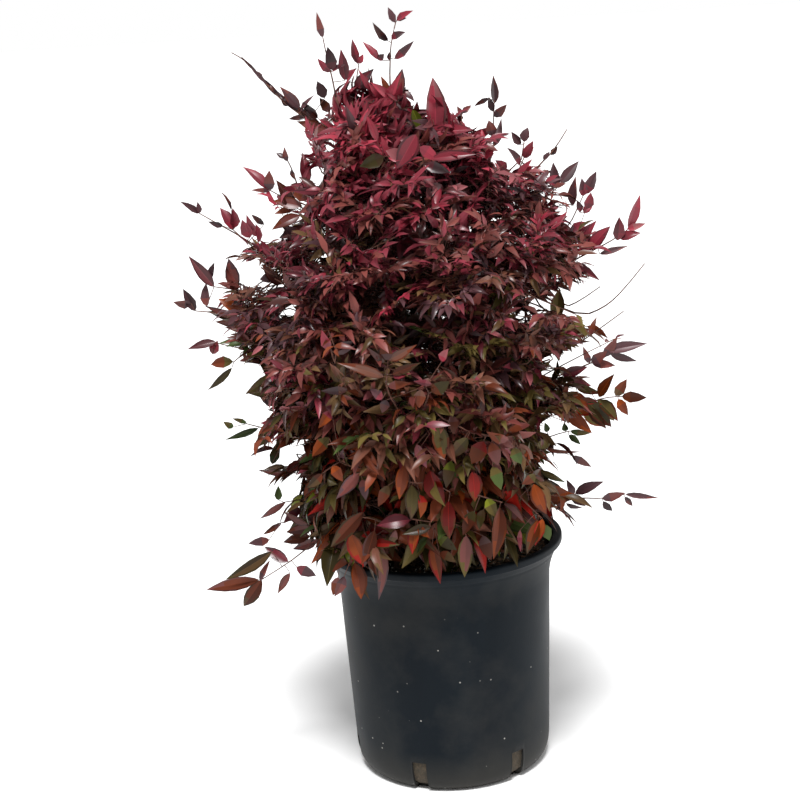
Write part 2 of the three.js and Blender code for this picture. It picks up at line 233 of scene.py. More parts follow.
plantSeed, massSeedStep = 1, 977
soilTop = 257
tiers = [
    {"name": "top", "count": 1, "bearing": 180, "height": 755, "radius": 28, "foot": 4, "thickness": 9.2,
     "rise": 86, "stem": 80, "spread": 135},
    {"name": "upper", "count": 4, "bearing": 58, "height": 672, "radius": 88, "foot": 28, "thickness": 8.8,
     "rise": 60, "stem": 76, "spread": 125},
    {"name": "middle", "count": 5, "bearing": 18, "height": 572, "radius": 138, "foot": 48,
     "thickness": 8.4, "rise": 48, "stem": 80, "spread": 118},
    {"name": "lower", "count": 5, "bearing": 54, "height": 450, "radius": 132, "foot": 66, "thickness": 8,
     "rise": 36, "stem": 76, "spread": 118},
    {"name": "skirt", "count": 5, "bearing": 18, "height": 332, "radius": 112, "foot": 82,
     "thickness": 7.6, "rise": 26, "stem": 64, "spread": 112},
]
scatter = {"bearing": 6, "height": 24, "foot": (0.85, 1.1)}
stemPlan = {"behind": 0.72, "tipRadius": 1.7, "levelling": 0.3}
crownCentre = np.array([-20.0, 0.0, 0.0])
crownOutline = np.array([  # distance from the crown's own axis, and height
    (158, 235), (170, 310), (194, 390), (228, 490), (228, 600),
    (196, 665), (142, 730), (108, 785), (50, 860),
], float)


def outlineTable(points, samples=40):
    # a smooth curve through the points: on each span 2 p1 + (p2 - p0) t + (2 p0 - 5 p1 + 4 p2 - p3) t^2
    # + (3 p1 - p0 - 3 p2 + p3) t^3, halved
    padded = np.concatenate([points[:1], points, points[-1:]])
    p0, p1, p2, p3 = (padded[k:k + len(points) - 1, None] for k in range(4))
    t = np.linspace(0, 1, samples)[None, :, None]
    curve = 0.5 * (2 * p1 + (p2 - p0) * t + (2 * p0 - 5 * p1 + 4 * p2 - p3) * t**2
                   + (3 * p1 - p0 - 3 * p2 + p3) * t**3)
    return curve.reshape(-1, 2)


outlineSamples = outlineTable(crownOutline)


def outlineRadius(height):
    # distance of the outline from the crown's axis, and nothing under or over the crown
    return np.interp(height, outlineSamples[:, 1], outlineSamples[:, 0], left=0, right=0)


def layOutMasses():
    masses = []
    for tier in tiers:
        for i in range(tier["count"]):
            draws = seededDraws(len(masses) * massSeedStep + plantSeed, 3)
            swing = mixValues(-scatter["bearing"], scatter["bearing"], draws[0])
            bearing = math.radians(tier["bearing"] + 360 / tier["count"] * i + swing)
            height = tier["height"] + mixValues(-scatter["height"], scatter["height"], draws[1])
            centre = radial(bearing, tier["radius"], height) + crownCentre
            rise = math.radians(tier["rise"])
            aim = radial(bearing, math.cos(rise), math.sin(rise))
            tip = centre - aim * tier["stem"] * stemPlan["behind"]
            foot = radial(bearing, tier["foot"] * mixValues(*scatter["foot"], draws[2]), soilTop)
            label = f"{tier['name']}_{i + 1}" if tier["count"] > 1 else tier["name"]
            masses.append({"tier": tier, "label": label, "bearing": bearing, "centre": centre, "aim": aim,
                           "tip": tip, "foot": foot})
    return masses


masses = layOutMasses()
massCentres = np.array([mass["centre"] for mass in masses])
print(f"{len(masses)} masses laid out")


# Finishes
def linear(colour):
    # eight-bit screen values to light: ((c + 0.055) / 1.055)^2.4
    c = np.array(colour) / 255
    return np.where(c <= 0.04045, c / 12.92, ((c + 0.055) / 1.055) ** 2.4)


def addNode(tree, kind, values=None, **settings):
    node = tree.nodes.new(kind)
    for key, value in settings.items():
        setattr(node, key, value)
    for key, value in (values or {}).items():
        node.inputs[key].default_value = value
    return node


def addRamp(tree, source, *stops):
    # each stop is a place from 0 to 1, with a colour or one number for a grey
    ramp = addNode(tree, "ShaderNodeValToRGB")
    elements = ramp.color_ramp.elements
    while len(elements) < len(stops):
        elements.new(0.5)
    for element, (place, colour) in zip(elements, stops):
        element.position = place
        element.color = (*(colour if isinstance(colour, tuple) else (colour,) * 3), 1)
    tree.links.new(source, ramp.inputs["Fac"])
    return ramp.outputs["Color"]


def blendColours(tree, share, under, over, mode="MIX"):
    # share may be a number or a socket, and so may each colour
    node = addNode(tree, "ShaderNodeMix", data_type="RGBA", blend_type=mode)
    if isinstance(share, (int, float)):
        node.inputs["Factor"].default_value = share
    else:
        tree.links.new(share, node.inputs["Factor"])
    for name, value in (("A", under), ("B", over)):
        socket = [s for s in node.inputs if s.name == name and s.type == "RGBA"][0]
        if isinstance(value, tuple):
            socket.default_value = (*value, 1)
        else:
            tree.links.new(value, socket)
    return [s for s in node.outputs if s.type == "RGBA"][0]


def mappedNoise(tree, scale, detail, roughness, stretch=(1, 1, 1)):
    coordinates = addNode(tree, "ShaderNodeTexCoord")
    mapping = addNode(tree, "ShaderNodeMapping", {"Scale": stretch})
    noise = addNode(tree, "ShaderNodeTexNoise", {"Scale": scale, "Detail": detail, "Roughness": roughness})
    tree.links.new(coordinates.outputs["Object"], mapping.inputs["Vector"])
    tree.links.new(mapping.outputs["Vector"], noise.inputs["Vector"])
    return noise.outputs["Fac"]


def addBump(tree, shader, height, distance, strength):
    bump = addNode(tree, "ShaderNodeBump", {"Strength": strength, "Distance": distance})
    tree.links.new(height, bump.inputs["Height"])
    tree.links.new(bump.outputs["Normal"], shader.inputs["Normal"])


# In the finishes below, a ramp is a row of stops, each a place with a colour or a grey, and a relief is its
# depth in metres and its strength
plasticFinish = {
    "streaks": {"scale": 16, "detail": 3, "roughness": 0.6, "stretch": (1, 1, 0.08)},
    "plastic": ((0.3, (0.0032, 0.006, 0.009)), (0.7, (0.005, 0.0085, 0.012))),
    "clouds": {"scale": 9, "detail": 5, "roughness": 0.6},
    "dust": (0.05, 0.047, 0.042), "dustCover": ((0.45, 0), (0.85, 0.5)),
    "footDust": (0.055, 0.05, 0.042), "footCover": ((0, 0.55), (0.05, 0)),
    "specks": (0.42, 0.41, 0.38), "speckScale": 85, "speckEdge": ((0.06, 1), (0.1, 0)),
    "speckChance": ((0.76, 0), (0.98, 1)),
    "roughness": ((0.3, 0.42), (0.75, 0.6)), "gloss": 0.09,
    "pebbles": {"scale": 420, "detail": 2, "roughness": 0.5}, "relief": (0.0002, 0.35),
}


def mouldedPlastic(f):
    # charcoal plastic: faint upright streaks, a dusty foot, pale specks and a lightly pebbled skin
    material, tree, shader = newMaterial("mouldedPlastic")
    streaks, clouds = mappedNoise(tree, **f["streaks"]), mappedNoise(tree, **f["clouds"])
    base = addRamp(tree, streaks, *f["plastic"])
    dusted = blendColours(tree, addRamp(tree, clouds, *f["dustCover"]), base, f["dust"])
    coordinates = addNode(tree, "ShaderNodeTexCoord")
    parts = addNode(tree, "ShaderNodeSeparateXYZ")
    tree.links.new(coordinates.outputs["Object"], parts.inputs["Vector"])
    grimy = blendColours(tree, addRamp(tree, parts.outputs["Z"], *f["footCover"]), dusted, f["footDust"])
    scattered = {"Scale": f["speckScale"], "Randomness": 1.0}
    cells = addNode(tree, "ShaderNodeTexVoronoi", scattered, feature="F1")
    tree.links.new(coordinates.outputs["Object"], cells.inputs["Vector"])
    dots = addRamp(tree, cells.outputs["Distance"], *f["speckEdge"])
    chosen = addNode(tree, "ShaderNodeSeparateColor")
    tree.links.new(cells.outputs["Color"], chosen.inputs["Color"])
    few = addRamp(tree, chosen.outputs["Red"], *f["speckChance"])
    specks = blendColours(tree, 1.0, dots, few, "MULTIPLY")
    tree.links.new(blendColours(tree, specks, grimy, f["specks"]), shader.inputs["Base Color"])
    tree.links.new(addRamp(tree, clouds, *f["roughness"]), shader.inputs["Roughness"])
    shader.inputs["Specular IOR Level"].default_value = f["gloss"]
    addBump(tree, shader, mappedNoise(tree, **f["pebbles"]), *f["relief"])
    return material


mixFinish = {
    "crumbs": {"scale": 210, "detail": 6, "roughness": 0.7},
    "mix": ((0.3, (0.012, 0.008, 0.006)), (0.52, (0.055, 0.036, 0.024)), (0.72, (0.16, 0.11, 0.075))),
    "patches": {"scale": 26, "detail": 3, "roughness": 0.5}, "tint": (0.045, 0.038, 0.02),
    "roughness": ((0.3, 0.75), (0.8, 0.98)), "relief": (0.002, 0.9),
}


def pottingMix(f):
    # dark damp bark crumbs with lighter fibres
    material, tree, shader = newMaterial("pottingMix")
    crumbs, patches = mappedNoise(tree, **f["crumbs"]), mappedNoise(tree, **f["patches"])
    base = addRamp(tree, crumbs, *f["mix"])
    tree.links.new(blendColours(tree, patches, base, f["tint"]), shader.inputs["Base Color"])
    tree.links.new(addRamp(tree, crumbs, *f["roughness"]), shader.inputs["Roughness"])
    addBump(tree, shader, crumbs, *f["relief"])
    return material


barkFinish = {
    "fissures": {"scale": 260, "detail": 5, "roughness": 0.65, "stretch": (1, 1, 0.12)},
    "bark": ((0.32, (0.022, 0.013, 0.008)), (0.55, (0.09, 0.058, 0.036)), (0.75, (0.19, 0.14, 0.095))),
    "patches": {"scale": 30, "detail": 3, "roughness": 0.5},
    "young": (0.1, 0.035, 0.025), "youngCover": ((0.4, 0), (0.7, 0.6)),
    "roughness": 0.85, "relief": (0.0008, 0.8),
}


def caneBark(f):
    # grey-brown, fissured along its length, reddish where the bark is young
    material, tree, shader = newMaterial("caneBark")
    fissures, patches = mappedNoise(tree, **f["fissures"]), mappedNoise(tree, **f["patches"])
    base = addRamp(tree, fissures, *f["bark"])
    young = addRamp(tree, patches, *f["youngCover"])
    tree.links.new(blendColours(tree, young, base, f["young"]), shader.inputs["Base Color"])
    shader.inputs["Roughness"].default_value = f["roughness"]
    addBump(tree, shader, fissures, *f["relief"])
    return material


grainFinish = {
    "detail": 4, "noiseRoughness": 0.6, "edges": (0.3, 0.7), "roughness": 0.9, "relief": (0.0006, 0.6),
}
grains = {
    "perlite": {"dark": (0.45, 0.41, 0.33), "light": (0.78, 0.75, 0.68), "scale": 300},
    "barkChips": {"dark": (0.04, 0.022, 0.012), "light": (0.3, 0.18, 0.1), "scale": 240},
    "twigBark": {"dark": (0.05, 0.018, 0.014), "light": (0.16, 0.06, 0.035), "scale": 180},
}


def grainMaterial(name, grain, f=grainFinish):
    # a fine two-coloured grain with a little relief
    material, tree, shader = newMaterial(name)
    noise = mappedNoise(tree, grain["scale"], f["detail"], f["noiseRoughness"])
    stops = zip(f["edges"], (grain["dark"], grain["light"]))
    tree.links.new(addRamp(tree, noise, *stops), shader.inputs["Base Color"])
    shader.inputs["Roughness"].default_value = f["roughness"]
    addBump(tree, shader, noise, *f["relief"])
    return material


# Each family of leaf colours, as screen values, is dealt in five tones, darker and lighter copies of it for
# random variation and for painted shade
leafFamilies = {
    "crimson": (138, 43, 57),
    "burgundy": (120, 45, 56),
    "maroon": (110, 56, 51),
    "plum": (82, 52, 56),
    "rose": (134, 72, 76),
    "russet": (110, 53, 33),
    "umber": (106, 65, 51),
    "bronze": (94, 70, 45),
    "orange": (134, 60, 22),
    "scarlet": (150, 30, 22),
    "olive": (90, 77, 40),
    "green": (72, 86, 44),
    "lime": (118, 122, 34),
}
# the darkest tone is painted shade, dealt to leaves deep inside the crown
leafTones = (0.3, 0.6, 0.82, 1.0, 1.25)  # the first is for leaves deep inside
leafFinish = {
    "roughness": 0.28, "roughening": 0.025, "gloss": 0.3, "matteGloss": 0.14,
    "matte": ("russet", "bronze", "orange", "scarlet", "olive", "green", "lime"),
}


def makeLeafMaterials(f):
    materials = []
    for family, colour in leafFamilies.items():
        # each tone is a darker or lighter copy of the family's colour, partly painted shade
        for number, tone in enumerate(leafTones):
            material, _, shader = newMaterial(f"{family}Leaf{number + 1}")
            shader.inputs["Base Color"].default_value = (*(linear(colour) * tone).tolist(), 1)
            shader.inputs["Roughness"].default_value = f["roughness"] + f["roughening"] * number
            gloss = "matteGloss" if family in f["matte"] else "gloss"
            shader.inputs["Specular IOR Level"].default_value = f[gloss]
            materials.append(material)
    return materials


plastic, mix, bark = mouldedPlastic(plasticFinish), pottingMix(mixFinish), caneBark(barkFinish)
perlite, chips, twigMaterial = (grainMaterial(name, grain) for name, grain in grains.items())
leafMaterials = makeLeafMaterials(leafFinish)
familyNames = list(leafFamilies)
print(f"{len(bpy.data.materials)} finishes ready")


# The pot
pot = {
    "height": 274, "rimRadius": 140, "neckRadius": 124, "footRadius": 114.5, "wall": 2.4, "middle": 1,
    "lipHeight": 8, "lipStep": 1.6, "lipWidth": 10.5, "lipRound": 2.4,
    "flareHeight": 45, "flareBulge": 3, "ridgeLevel": 257, "ridgeDepth": 0.7, "ridgeWidth": 1.3,
    "cornerWidth": 16, "cornerHeight": 28, "innerCornerShare": 0.36, "innerCornerStep": 2.5, "neckStep": 6,
    "drains": 6, "drainWidth": 17, "drainHeight": 37, "drainDepth": 34, "firstDrain": 249,
    "columnsBetween": 34, "columnsInDrain": 3, "rowsInDrain": 12,
    "steps": {"floor": 8, "corner": 40, "wall": 22, "flare": 22, "innerFlare": 10, "innerWall": 12},
}
# The lip's rounded edges: how far in from the lip's outer or inner side, and from its lower or upper level
lipEdges = {
    "lower": [(0.5, 0.1), (0.1, 0.6), (0, 1.4)],
    "outer": [(0, 2.4), (0.3, 1.2), (1.1, 0.4), (2.2, 0)],
    "inner": [(3, 0), (1.4, 0.4), (0.3, 1.2)],
}


def bent(first, corner, last, count):
    # (1-t)^2 a + 2 t (1-t) b + t^2 c
    t = np.linspace(0, 1, count)[:, None]
    a, b, c = (np.array(p, float) for p in (first, corner, last))
    return (1 - t) ** 2 * a + 2 * t * (1 - t) * b + t**2 * c


def straight(first, last, count):
    t = np.linspace(0, 1, count)[:, None]
    return np.array(first, float) * (1 - t) + np.array(last, float) * t


def resample(path, count):
    # the path walked in equal steps
    walked = np.concatenate([[0], np.cumsum(np.linalg.norm(np.diff(path, axis=0), axis=1))])
    marks = np.linspace(0, walked[-1], count)
    return np.stack([np.interp(marks, walked, path[:, k]) for k in range(2)], axis=1)


def innerWall(p):
    # radius and height where the inner wall bends: floor's edge, corner, top of the corner, neck and lip
    neckLevel = p["height"] - p["flareHeight"]
    footTop = mixValues(p["footRadius"], p["neckRadius"], p["cornerHeight"] / neckLevel)
    return [
        (p["footRadius"] - p["cornerWidth"], p["wall"]),
        (p["footRadius"] - p["wall"] - p["innerCornerStep"], p["cornerHeight"] * p["innerCornerShare"]),
        (footTop - p["wall"], p["cornerHeight"]),
        (p["neckRadius"] - p["wall"], neckLevel + p["neckStep"]),
        (p["rimRadius"] - p["lipWidth"], p["height"] - p["lipRound"]),
    ]


def innerRadius(levels, p=pot):
    radii, heights = np.array(innerWall(p)).T
    return np.interp(levels, heights, radii)


def lipProfile(p):
    # under the lip, up its outer side, over its top and down to its inner side
    rim, top, lipLevel = p["rimRadius"], p["height"], p["height"] - p["lipHeight"]
    lower = [(rim - inwards, lipLevel + up) for inwards, up in lipEdges["lower"]]
    outer = [(rim - inwards, top - down) for inwards, down in lipEdges["outer"]]
    inner = [(rim - p["lipWidth"] + outwards, top - down) for outwards, down in lipEdges["inner"]]
    return np.array(lower + outer + inner)


def potProfile(p):
    # radius and height, from the middle of the underside out, up, over the lip and down inside, with the
    # rows where the drains begin on the outer and on the inner skin
    steps = p["steps"]
    floorEdge, innerCorner, wallFoot, neckInside, lipInside = innerWall(p)
    drainStart = p["footRadius"] - p["drainDepth"] / 2
    neckLevel, lipLevel = p["height"] - p["flareHeight"], p["height"] - p["lipHeight"]
    footTop, drainTop = ((mixValues(p["footRadius"], p["neckRadius"], level / neckLevel), level)
                         for level in (p["cornerHeight"], p["drainHeight"]))
    corner = bent((floorEdge[0], 0), (p["footRadius"], 0), footTop, steps["corner"])
    outerDrain = resample(np.vstack([corner[corner[:, 0] >= drainStart], [drainTop]]), p["rowsInDrain"])
    outerDrain[0, 0] = drainStart
    neck, flareTop = (p["neckRadius"], neckLevel), (p["rimRadius"] - p["lipStep"], lipLevel)
    bulge = (p["neckRadius"] + p["flareBulge"], (neckLevel + p["height"]) / 2)
    flare = bent(neck, bulge, flareTop, steps["flare"])
    flare[:, 0] -= p["ridgeDepth"] * np.exp(-((flare[:, 1] - p["ridgeLevel"]) / p["ridgeWidth"]) ** 2)
    share = (p["drainHeight"] - wallFoot[1]) / (neckInside[1] - wallFoot[1])
    innerTop = (mixValues(wallFoot[0], neckInside[0], share), p["drainHeight"])
    share = (drainStart - floorEdge[0]) / (innerCorner[0] - floorEdge[0])
    innerEnd = (drainStart, mixValues(floorEdge[1], innerCorner[1], share))
    innerDrain = resample(np.array([innerTop, wallFoot, innerCorner, innerEnd]), p["rowsInDrain"])
    parts = {
        "underside": straight((p["middle"], 0), (floorEdge[0], 0), steps["floor"]),
        "outerDrain": outerDrain,
        "wall": straight(drainTop, neck, steps["wall"])[1:-1],
        "flare": flare,
        "lip": lipProfile(p),
        "innerFlare": straight(lipInside, neckInside, steps["innerFlare"])[:-1],
        "innerWall": straight(neckInside, innerTop, steps["innerWall"])[:-1],
        "innerDrain": innerDrain,
        "floor": straight(floorEdge, (p["middle"], p["wall"]), steps["floor"]),
    }
    firsts = dict(zip(parts, np.cumsum([0] + [len(part) for part in parts.values()])))
    return np.vstack(list(parts.values())), firsts["outerDrain"], firsts["innerDrain"]


def drainWalls(p, columns, outerFirst, innerFirst):
    # quads between the outer and the inner skin, down a drain's two sides and across its two ends
    rows = np.arange(p["rowsInDrain"])
    outer, inner = outerFirst + rows, innerFirst + rows[::-1]
    walls = []
    for left in range(0, columns, columns // p["drains"]):
        for column, turned in ((left, False), (left + p["columnsInDrain"], True)):
            strip = np.stack([outer[:-1], outer[1:], inner[1:], inner[:-1]], axis=1) * columns + column
            walls.append(strip[:, ::-1] if turned else strip)
        across = left + np.arange(p["columnsInDrain"])
        for row, other, turned in ((outer[-1], inner[-1], True), (outer[0], inner[0], False)):
            strip = np.stack([row * columns + across, row * columns + across + 1,
                              other * columns + across + 1, other * columns + across], axis=1)
            walls.append(strip[:, ::-1] if turned else strip)
    return np.concatenate(walls)


def makePot(p):
    # the profile turned round; the columns beside a drain run parallel: angle = centre + asin(x / r)
    profile, outerFirst, innerFirst = potProfile(p)
    sector = fullTurn / p["drains"]
    edge = math.asin(p["drainWidth"] / 2 / p["footRadius"])
    inside = np.linspace(-edge, edge, p["columnsInDrain"] + 1)
    outside = np.linspace(edge, sector - edge, p["columnsBetween"] + 1)[1:-1]
    local = np.concatenate([inside, outside])
    columns = len(local) * p["drains"]
    radius = np.maximum(profile[:, :1], p["footRadius"] - p["drainDepth"] / 2)
    parallel = np.arcsin(np.sin(local) * p["footRadius"] / radius)
    fitted = np.where(np.arange(len(local)) < len(inside), parallel, local)
    centres = math.radians(p["firstDrain"]) + sector * np.arange(p["drains"])
    angles = (centres[None, :, None] + fitted[:, None, :]).reshape(len(profile), columns)
    points = radial(angles, profile[:, :1], profile[:, 1:]).reshape(-1, 3)
    faces = gridFaces(len(profile), columns, closed=True).reshape(len(profile) - 1, columns, 4)
    cutOut = np.zeros(faces.shape[:2], bool)
    for first in (outerFirst, innerFirst):
        cutOut[first:first + p["rowsInDrain"] - 1] |= np.arange(columns) % len(local) < p["columnsInDrain"]
    ends = [np.arange(columns)[None, ::-1], (np.arange(columns) + (len(profile) - 1) * columns)[None]]
    walls = drainWalls(p, columns, outerFirst, innerFirst)
    return makePiece("nurseryPot", points, [faces[~cutOut], walls, *ends], [plastic])


potPiece = makePot(pot)
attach(potPiece, "root")
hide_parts("pot")
print("pot turned")


# The potting mix and what lies on it
soilPlan = {
    "radius": 125.2, "edgeWidth": 9, "edgeDrop": 3, "columns": 180,
    "middle": 1.5, "firstRing": 6, "rings": 44,
    "sideLevels": (235, 180, 125, 80, 45, 28, 12, 5), "clearance": 0.4,
    "underside": 2.9, "undersideRadii": (94.5, 50, 1.5),
    "waves": ((0.6, 60, 3), (0.4, 13, 4)),  # their share of the relief, wavelength and seed
    "relief": 2.2, "sinking": 0.6, "calmStart": 6, "calmWidth": 20, "calmLeast": 0.25,
}
crumbPlan = {
    "edge": 5, "uneven": (0.7, 1.25), "width": (0.45, 0.9), "tilt": 0.5,
    "perlite": {"count": 420, "size": (0.8, 2.4), "flatness": (0.6, 0.95), "seed": 11},
    "chips": {"count": 520, "size": (2.0, 6.5), "flatness": (0.25, 0.5), "seed": 12},
}


def rolling(points, wavelength, seed, waves=22, spread=(0.6, 1.6)):
    # the sum of sines of d.p + phase over scattered directions d, brought to about -1 to 1
    rng = np.random.default_rng(seed)
    directions = unit(rng.normal(size=(waves, points.shape[-1])))
    directions *= (fullTurn / wavelength) * rng.uniform(*spread, (waves, 1))
    return np.sin(points @ directions.T + rng.uniform(0, fullTurn, waves)).sum(-1) / math.sqrt(waves)


def soilRise(places, plan, calm=1):
    # long and short waves added together and cut off at the top of the relief
    waves = sum(share * rolling(places, wavelength, seed) for share, wavelength, seed in plan["waves"])
    return np.minimum(waves * plan["relief"] * calm, plan["relief"])


def makeSoil(plan):
    # rings across the top with rolling relief, then down inside the pot's wall and in across its floor
    topEdge = plan["radius"] - plan["edgeWidth"]
    rings = np.concatenate([[plan["middle"]], np.linspace(plan["firstRing"], topEdge, plan["rings"])])
    top = np.stack([rings, np.full(len(rings), soilTop, float)], axis=1)
    levels = np.array([soilTop - plan["edgeDrop"] - plan["sinking"], *plan["sideLevels"]])
    side = np.stack([innerRadius(levels) - plan["clearance"], levels], axis=1)
    under = [(radius, plan["underside"]) for radius in plan["undersideRadii"]]
    profile = np.vstack([top, side, under])
    columns = plan["columns"]
    angles = np.linspace(0, fullTurn, columns, endpoint=False)[None]
    points = radial(angles, profile[:, :1], profile[:, 1:])
    flat = points[: len(top)]
    calm = np.clip((topEdge + plan["calmStart"] - top[:, :1]) / plan["calmWidth"], plan["calmLeast"], 1)
    flat[..., 2] += soilRise(flat[..., :2], plan, calm) - plan["sinking"]
    faces = gridFaces(len(profile), columns, closed=True)[:, ::-1]
    ends = [np.arange(columns)[None], (np.arange(columns) + (len(profile) - 1) * columns)[None, ::-1]]
    return makePiece("pottingSoil", points.reshape(-1, 3), [faces, *ends], [mix])


# A round crumb: twelve corners one unit from its middle, and the triangles between them
roundCrumb = np.array([
    (0, 0, 1), (0.89, 0, 0.45), (0.28, 0.85, 0.45), (-0.72, 0.53, 0.45),
    (-0.72, -0.53, 0.45), (0.28, -0.85, 0.45), (0.72, 0.53, -0.45), (-0.28, 0.85, -0.45),
    (-0.89, 0, -0.45), (-0.28, -0.85, -0.45), (0.72, -0.53, -0.45), (0, 0, -1),
])
roundCrumbFaces = np.array([
    (0, 1, 2), (0, 2, 3), (0, 3, 4), (0, 4, 5), (0, 5, 1),
    (1, 6, 2), (2, 7, 3), (3, 8, 4), (4, 9, 5), (5, 10, 1),
    (1, 10, 6), (2, 6, 7), (3, 7, 8), (4, 8, 9), (5, 9, 10),
    (6, 10, 11), (7, 6, 11), (8, 7, 11), (9, 8, 11), (10, 9, 11),
])


def scatterCrumbs(name, kind, material, plan=crumbPlan):
    # one crumb, stretched, made uneven, tipped and turned about the upright for each place
    rng = np.random.default_rng(kind["seed"])
    count, corners = kind["count"], len(roundCrumb)
    distance = np.sqrt(rng.uniform(0, 1, count)) * (soilPlan["radius"] - plan["edge"])
    places = radial(rng.uniform(0, fullTurn, count), distance)
    places[:, 2] = soilTop - soilPlan["sinking"] + soilRise(places[:, :2], soilPlan)
    size = rng.uniform(*kind["size"], (count, 1))
    shape = roundCrumb[None] * rng.uniform(*plan["uneven"], (count, corners, 1))
    stretch = [np.ones(count), rng.uniform(*plan["width"], count), rng.uniform(*kind["flatness"], count)]
    shape = shape * size[:, None] * np.stack(stretch, axis=1)[:, None]
    turn = rng.uniform(0, fullTurn, count)[:, None]
    tilt = rng.uniform(-plan["tilt"], plan["tilt"], count)[:, None]
    tipped = shape[..., 0] * np.cos(tilt) - shape[..., 2] * np.sin(tilt)
    x = tipped * np.cos(turn) - shape[..., 1] * np.sin(turn)
    y = tipped * np.sin(turn) + shape[..., 1] * np.cos(turn)
    z = shape[..., 0] * np.sin(tilt) + shape[..., 2] * np.cos(tilt)
    points = np.stack([x, y, z], axis=-1) + places[:, None]
    faces = repeatFaces(roundCrumbFaces, count, corners)
    return makePiece(name, points.reshape(-1, 3), [faces], [material], smooth=False)


soilPiece = makeSoil(soilPlan)
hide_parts("soil")
soilPieces = [
    soilPiece,
    scatterCrumbs("perliteCrumbs", crumbPlan["perlite"], perlite),
    scatterCrumbs("barkCrumbs", crumbPlan["chips"], chips),
]
for piece in soilPieces:
    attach(piece, "root")
print("soil filled")


# Canes
canePlan = {
    "sides": 12, "rings": 72, "crowding": 1.1, "upright": 0.38, "leaning": 0.3,
    "tipShare": 0.76, "flare": 0.5, "flareLength": 0.02,
    "nodeGap": 24, "nodeShift": 0.37, "nodeSwell": 0.13, "nodeLength": 0.12, "smoothFoot": 30,
    "fissure": 0.07, "ribs": (5, 3), "ribShare": 0.6, "ribTwist": 19,
}


def caneRoute(mass, t):
    # (1-t)^3 a + 3 t (1-t)^2 b + 3 t^2 (1-t) c + t^3 d
    foot, tip = mass["foot"], mass["tip"]
    length = np.linalg.norm(tip - foot)
    low = foot + upwards * length * canePlan["upright"]
    high = tip - mass["aim"] * length * canePlan["leaning"]
    t = t[:, None]
    return (1 - t) ** 3 * foot + 3 * t * (1 - t) ** 2 * low + 3 * t**2 * (1 - t) * high + t**3 * tip


def caneRadius(plan, thickness, number, t, walked, around):
    # taper + flare at the foot, times 1 + swelling at each old leaf scar + fissures round it
    taper = mixValues(1, plan["tipShare"], t) + plan["flare"] * np.exp(-t / plan["flareLength"])
    beat = (walked / plan["nodeGap"] + plan["nodeShift"] * number) % 1
    swell = plan["nodeSwell"] * np.exp(-(beat / plan["nodeLength"])) * (walked > plan["smoothFoot"])
    many, few = plan["ribs"]
    fissures = plan["fissure"] * (np.sin(around * many + number) * plan["ribShare"]
                                  + np.sin(around * few + walked[:, None] / plan["ribTwist"]))
    return (thickness / 2 * taper)[:, None] * (1 + swell[:, None] + fissures)


def makeCanes(plan):
    # rings along each cane, square to it, crowded towards its foot
    t = np.linspace(0, 1, plan["rings"]) ** plan["crowding"]
    around = np.linspace(0, fullTurn, plan["sides"], endpoint=False)
    rings = []
    for number, mass in enumerate(masses):
        route = caneRoute(mass, t)
        heading = np.gradient(route, axis=0)
        side = unit(np.cross(np.array([1.0, 0, 0]), heading))
        other = unit(np.cross(heading, side))
        walked = np.concatenate([[0], np.cumsum(np.linalg.norm(np.diff(route, axis=0), axis=1))])
        radius = caneRadius(plan, mass["tier"]["thickness"], number, t, walked, around)
        rings.append(ringsAround(route, side, other, around, radius))
    faces = tubeFaces(plan["rings"], plan["sides"], len(masses))
    return makePiece("barkedCanes", np.array(rings).reshape(-1, 3), faces, [bark])


canes = makeCanes(canePlan)
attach(canes, "root")
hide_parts(*[f"cane_{mass['label']}" for mass in masses])
print("canes grown")


# Boughs, sprays and leaflets: a mass's stem carries boughs, each bough ends in a spray, and a spray has
# side twigs, with leaflets in opposite pairs along them and one at each tip
boughPlan = {
    "tries": 1500,  # places tried for each mass
    "longest": 190, "shortest": 15, "step": 5, "shortening": 0.7, "bend": 0.4,
    "aside": (8, 15), "turnScatter": 0.3, "downStem": 0.85,
    "depths": (0, 25, 90, 220), "apart": (21, 24, 40, 52),  # how far apart sprays end, by their depth
    "peak": (-45, 818), "slopes": (0.5, 0.42),  # the crown's highest place, and its fall to each side
    "edgeDepth": 15, "edgeScatter": (-16, 12), "seed": 5,
}
sprayPlan = {
    "heights": (300, 700), "length": (88, 72), "lengthScatter": (0.8, 1.15), "least": 14,
    "follow": 0.45, "wander": 0.4, "bow": 0.2, "tilt": 32, "tiltShare": 0.7,
    # patches of one leaf colour
    "patch": 95, "patchShare": 0.8, "patchScatter": 0.6, "patchSeed": 17,
    # dents in the crown's surface
    "dentWidth": 110, "dentDepth": 34, "dentStart": 0.2, "dentLimits": (30, 60), "dentSeed": 23,
    # side twigs, how far out of the crown their leaves may hang, and the places of the leaves
    "sideTurn": 55, "sideScatter": 14, "sideDroop": (0.1, 0.6), "sideLength": (0.7, 1.2),
    "overhang": 12, "overhangShare": 0.6, "endPlace": 0.99, "lastPair": 0.76, "sideLeaf": 0.92,
}
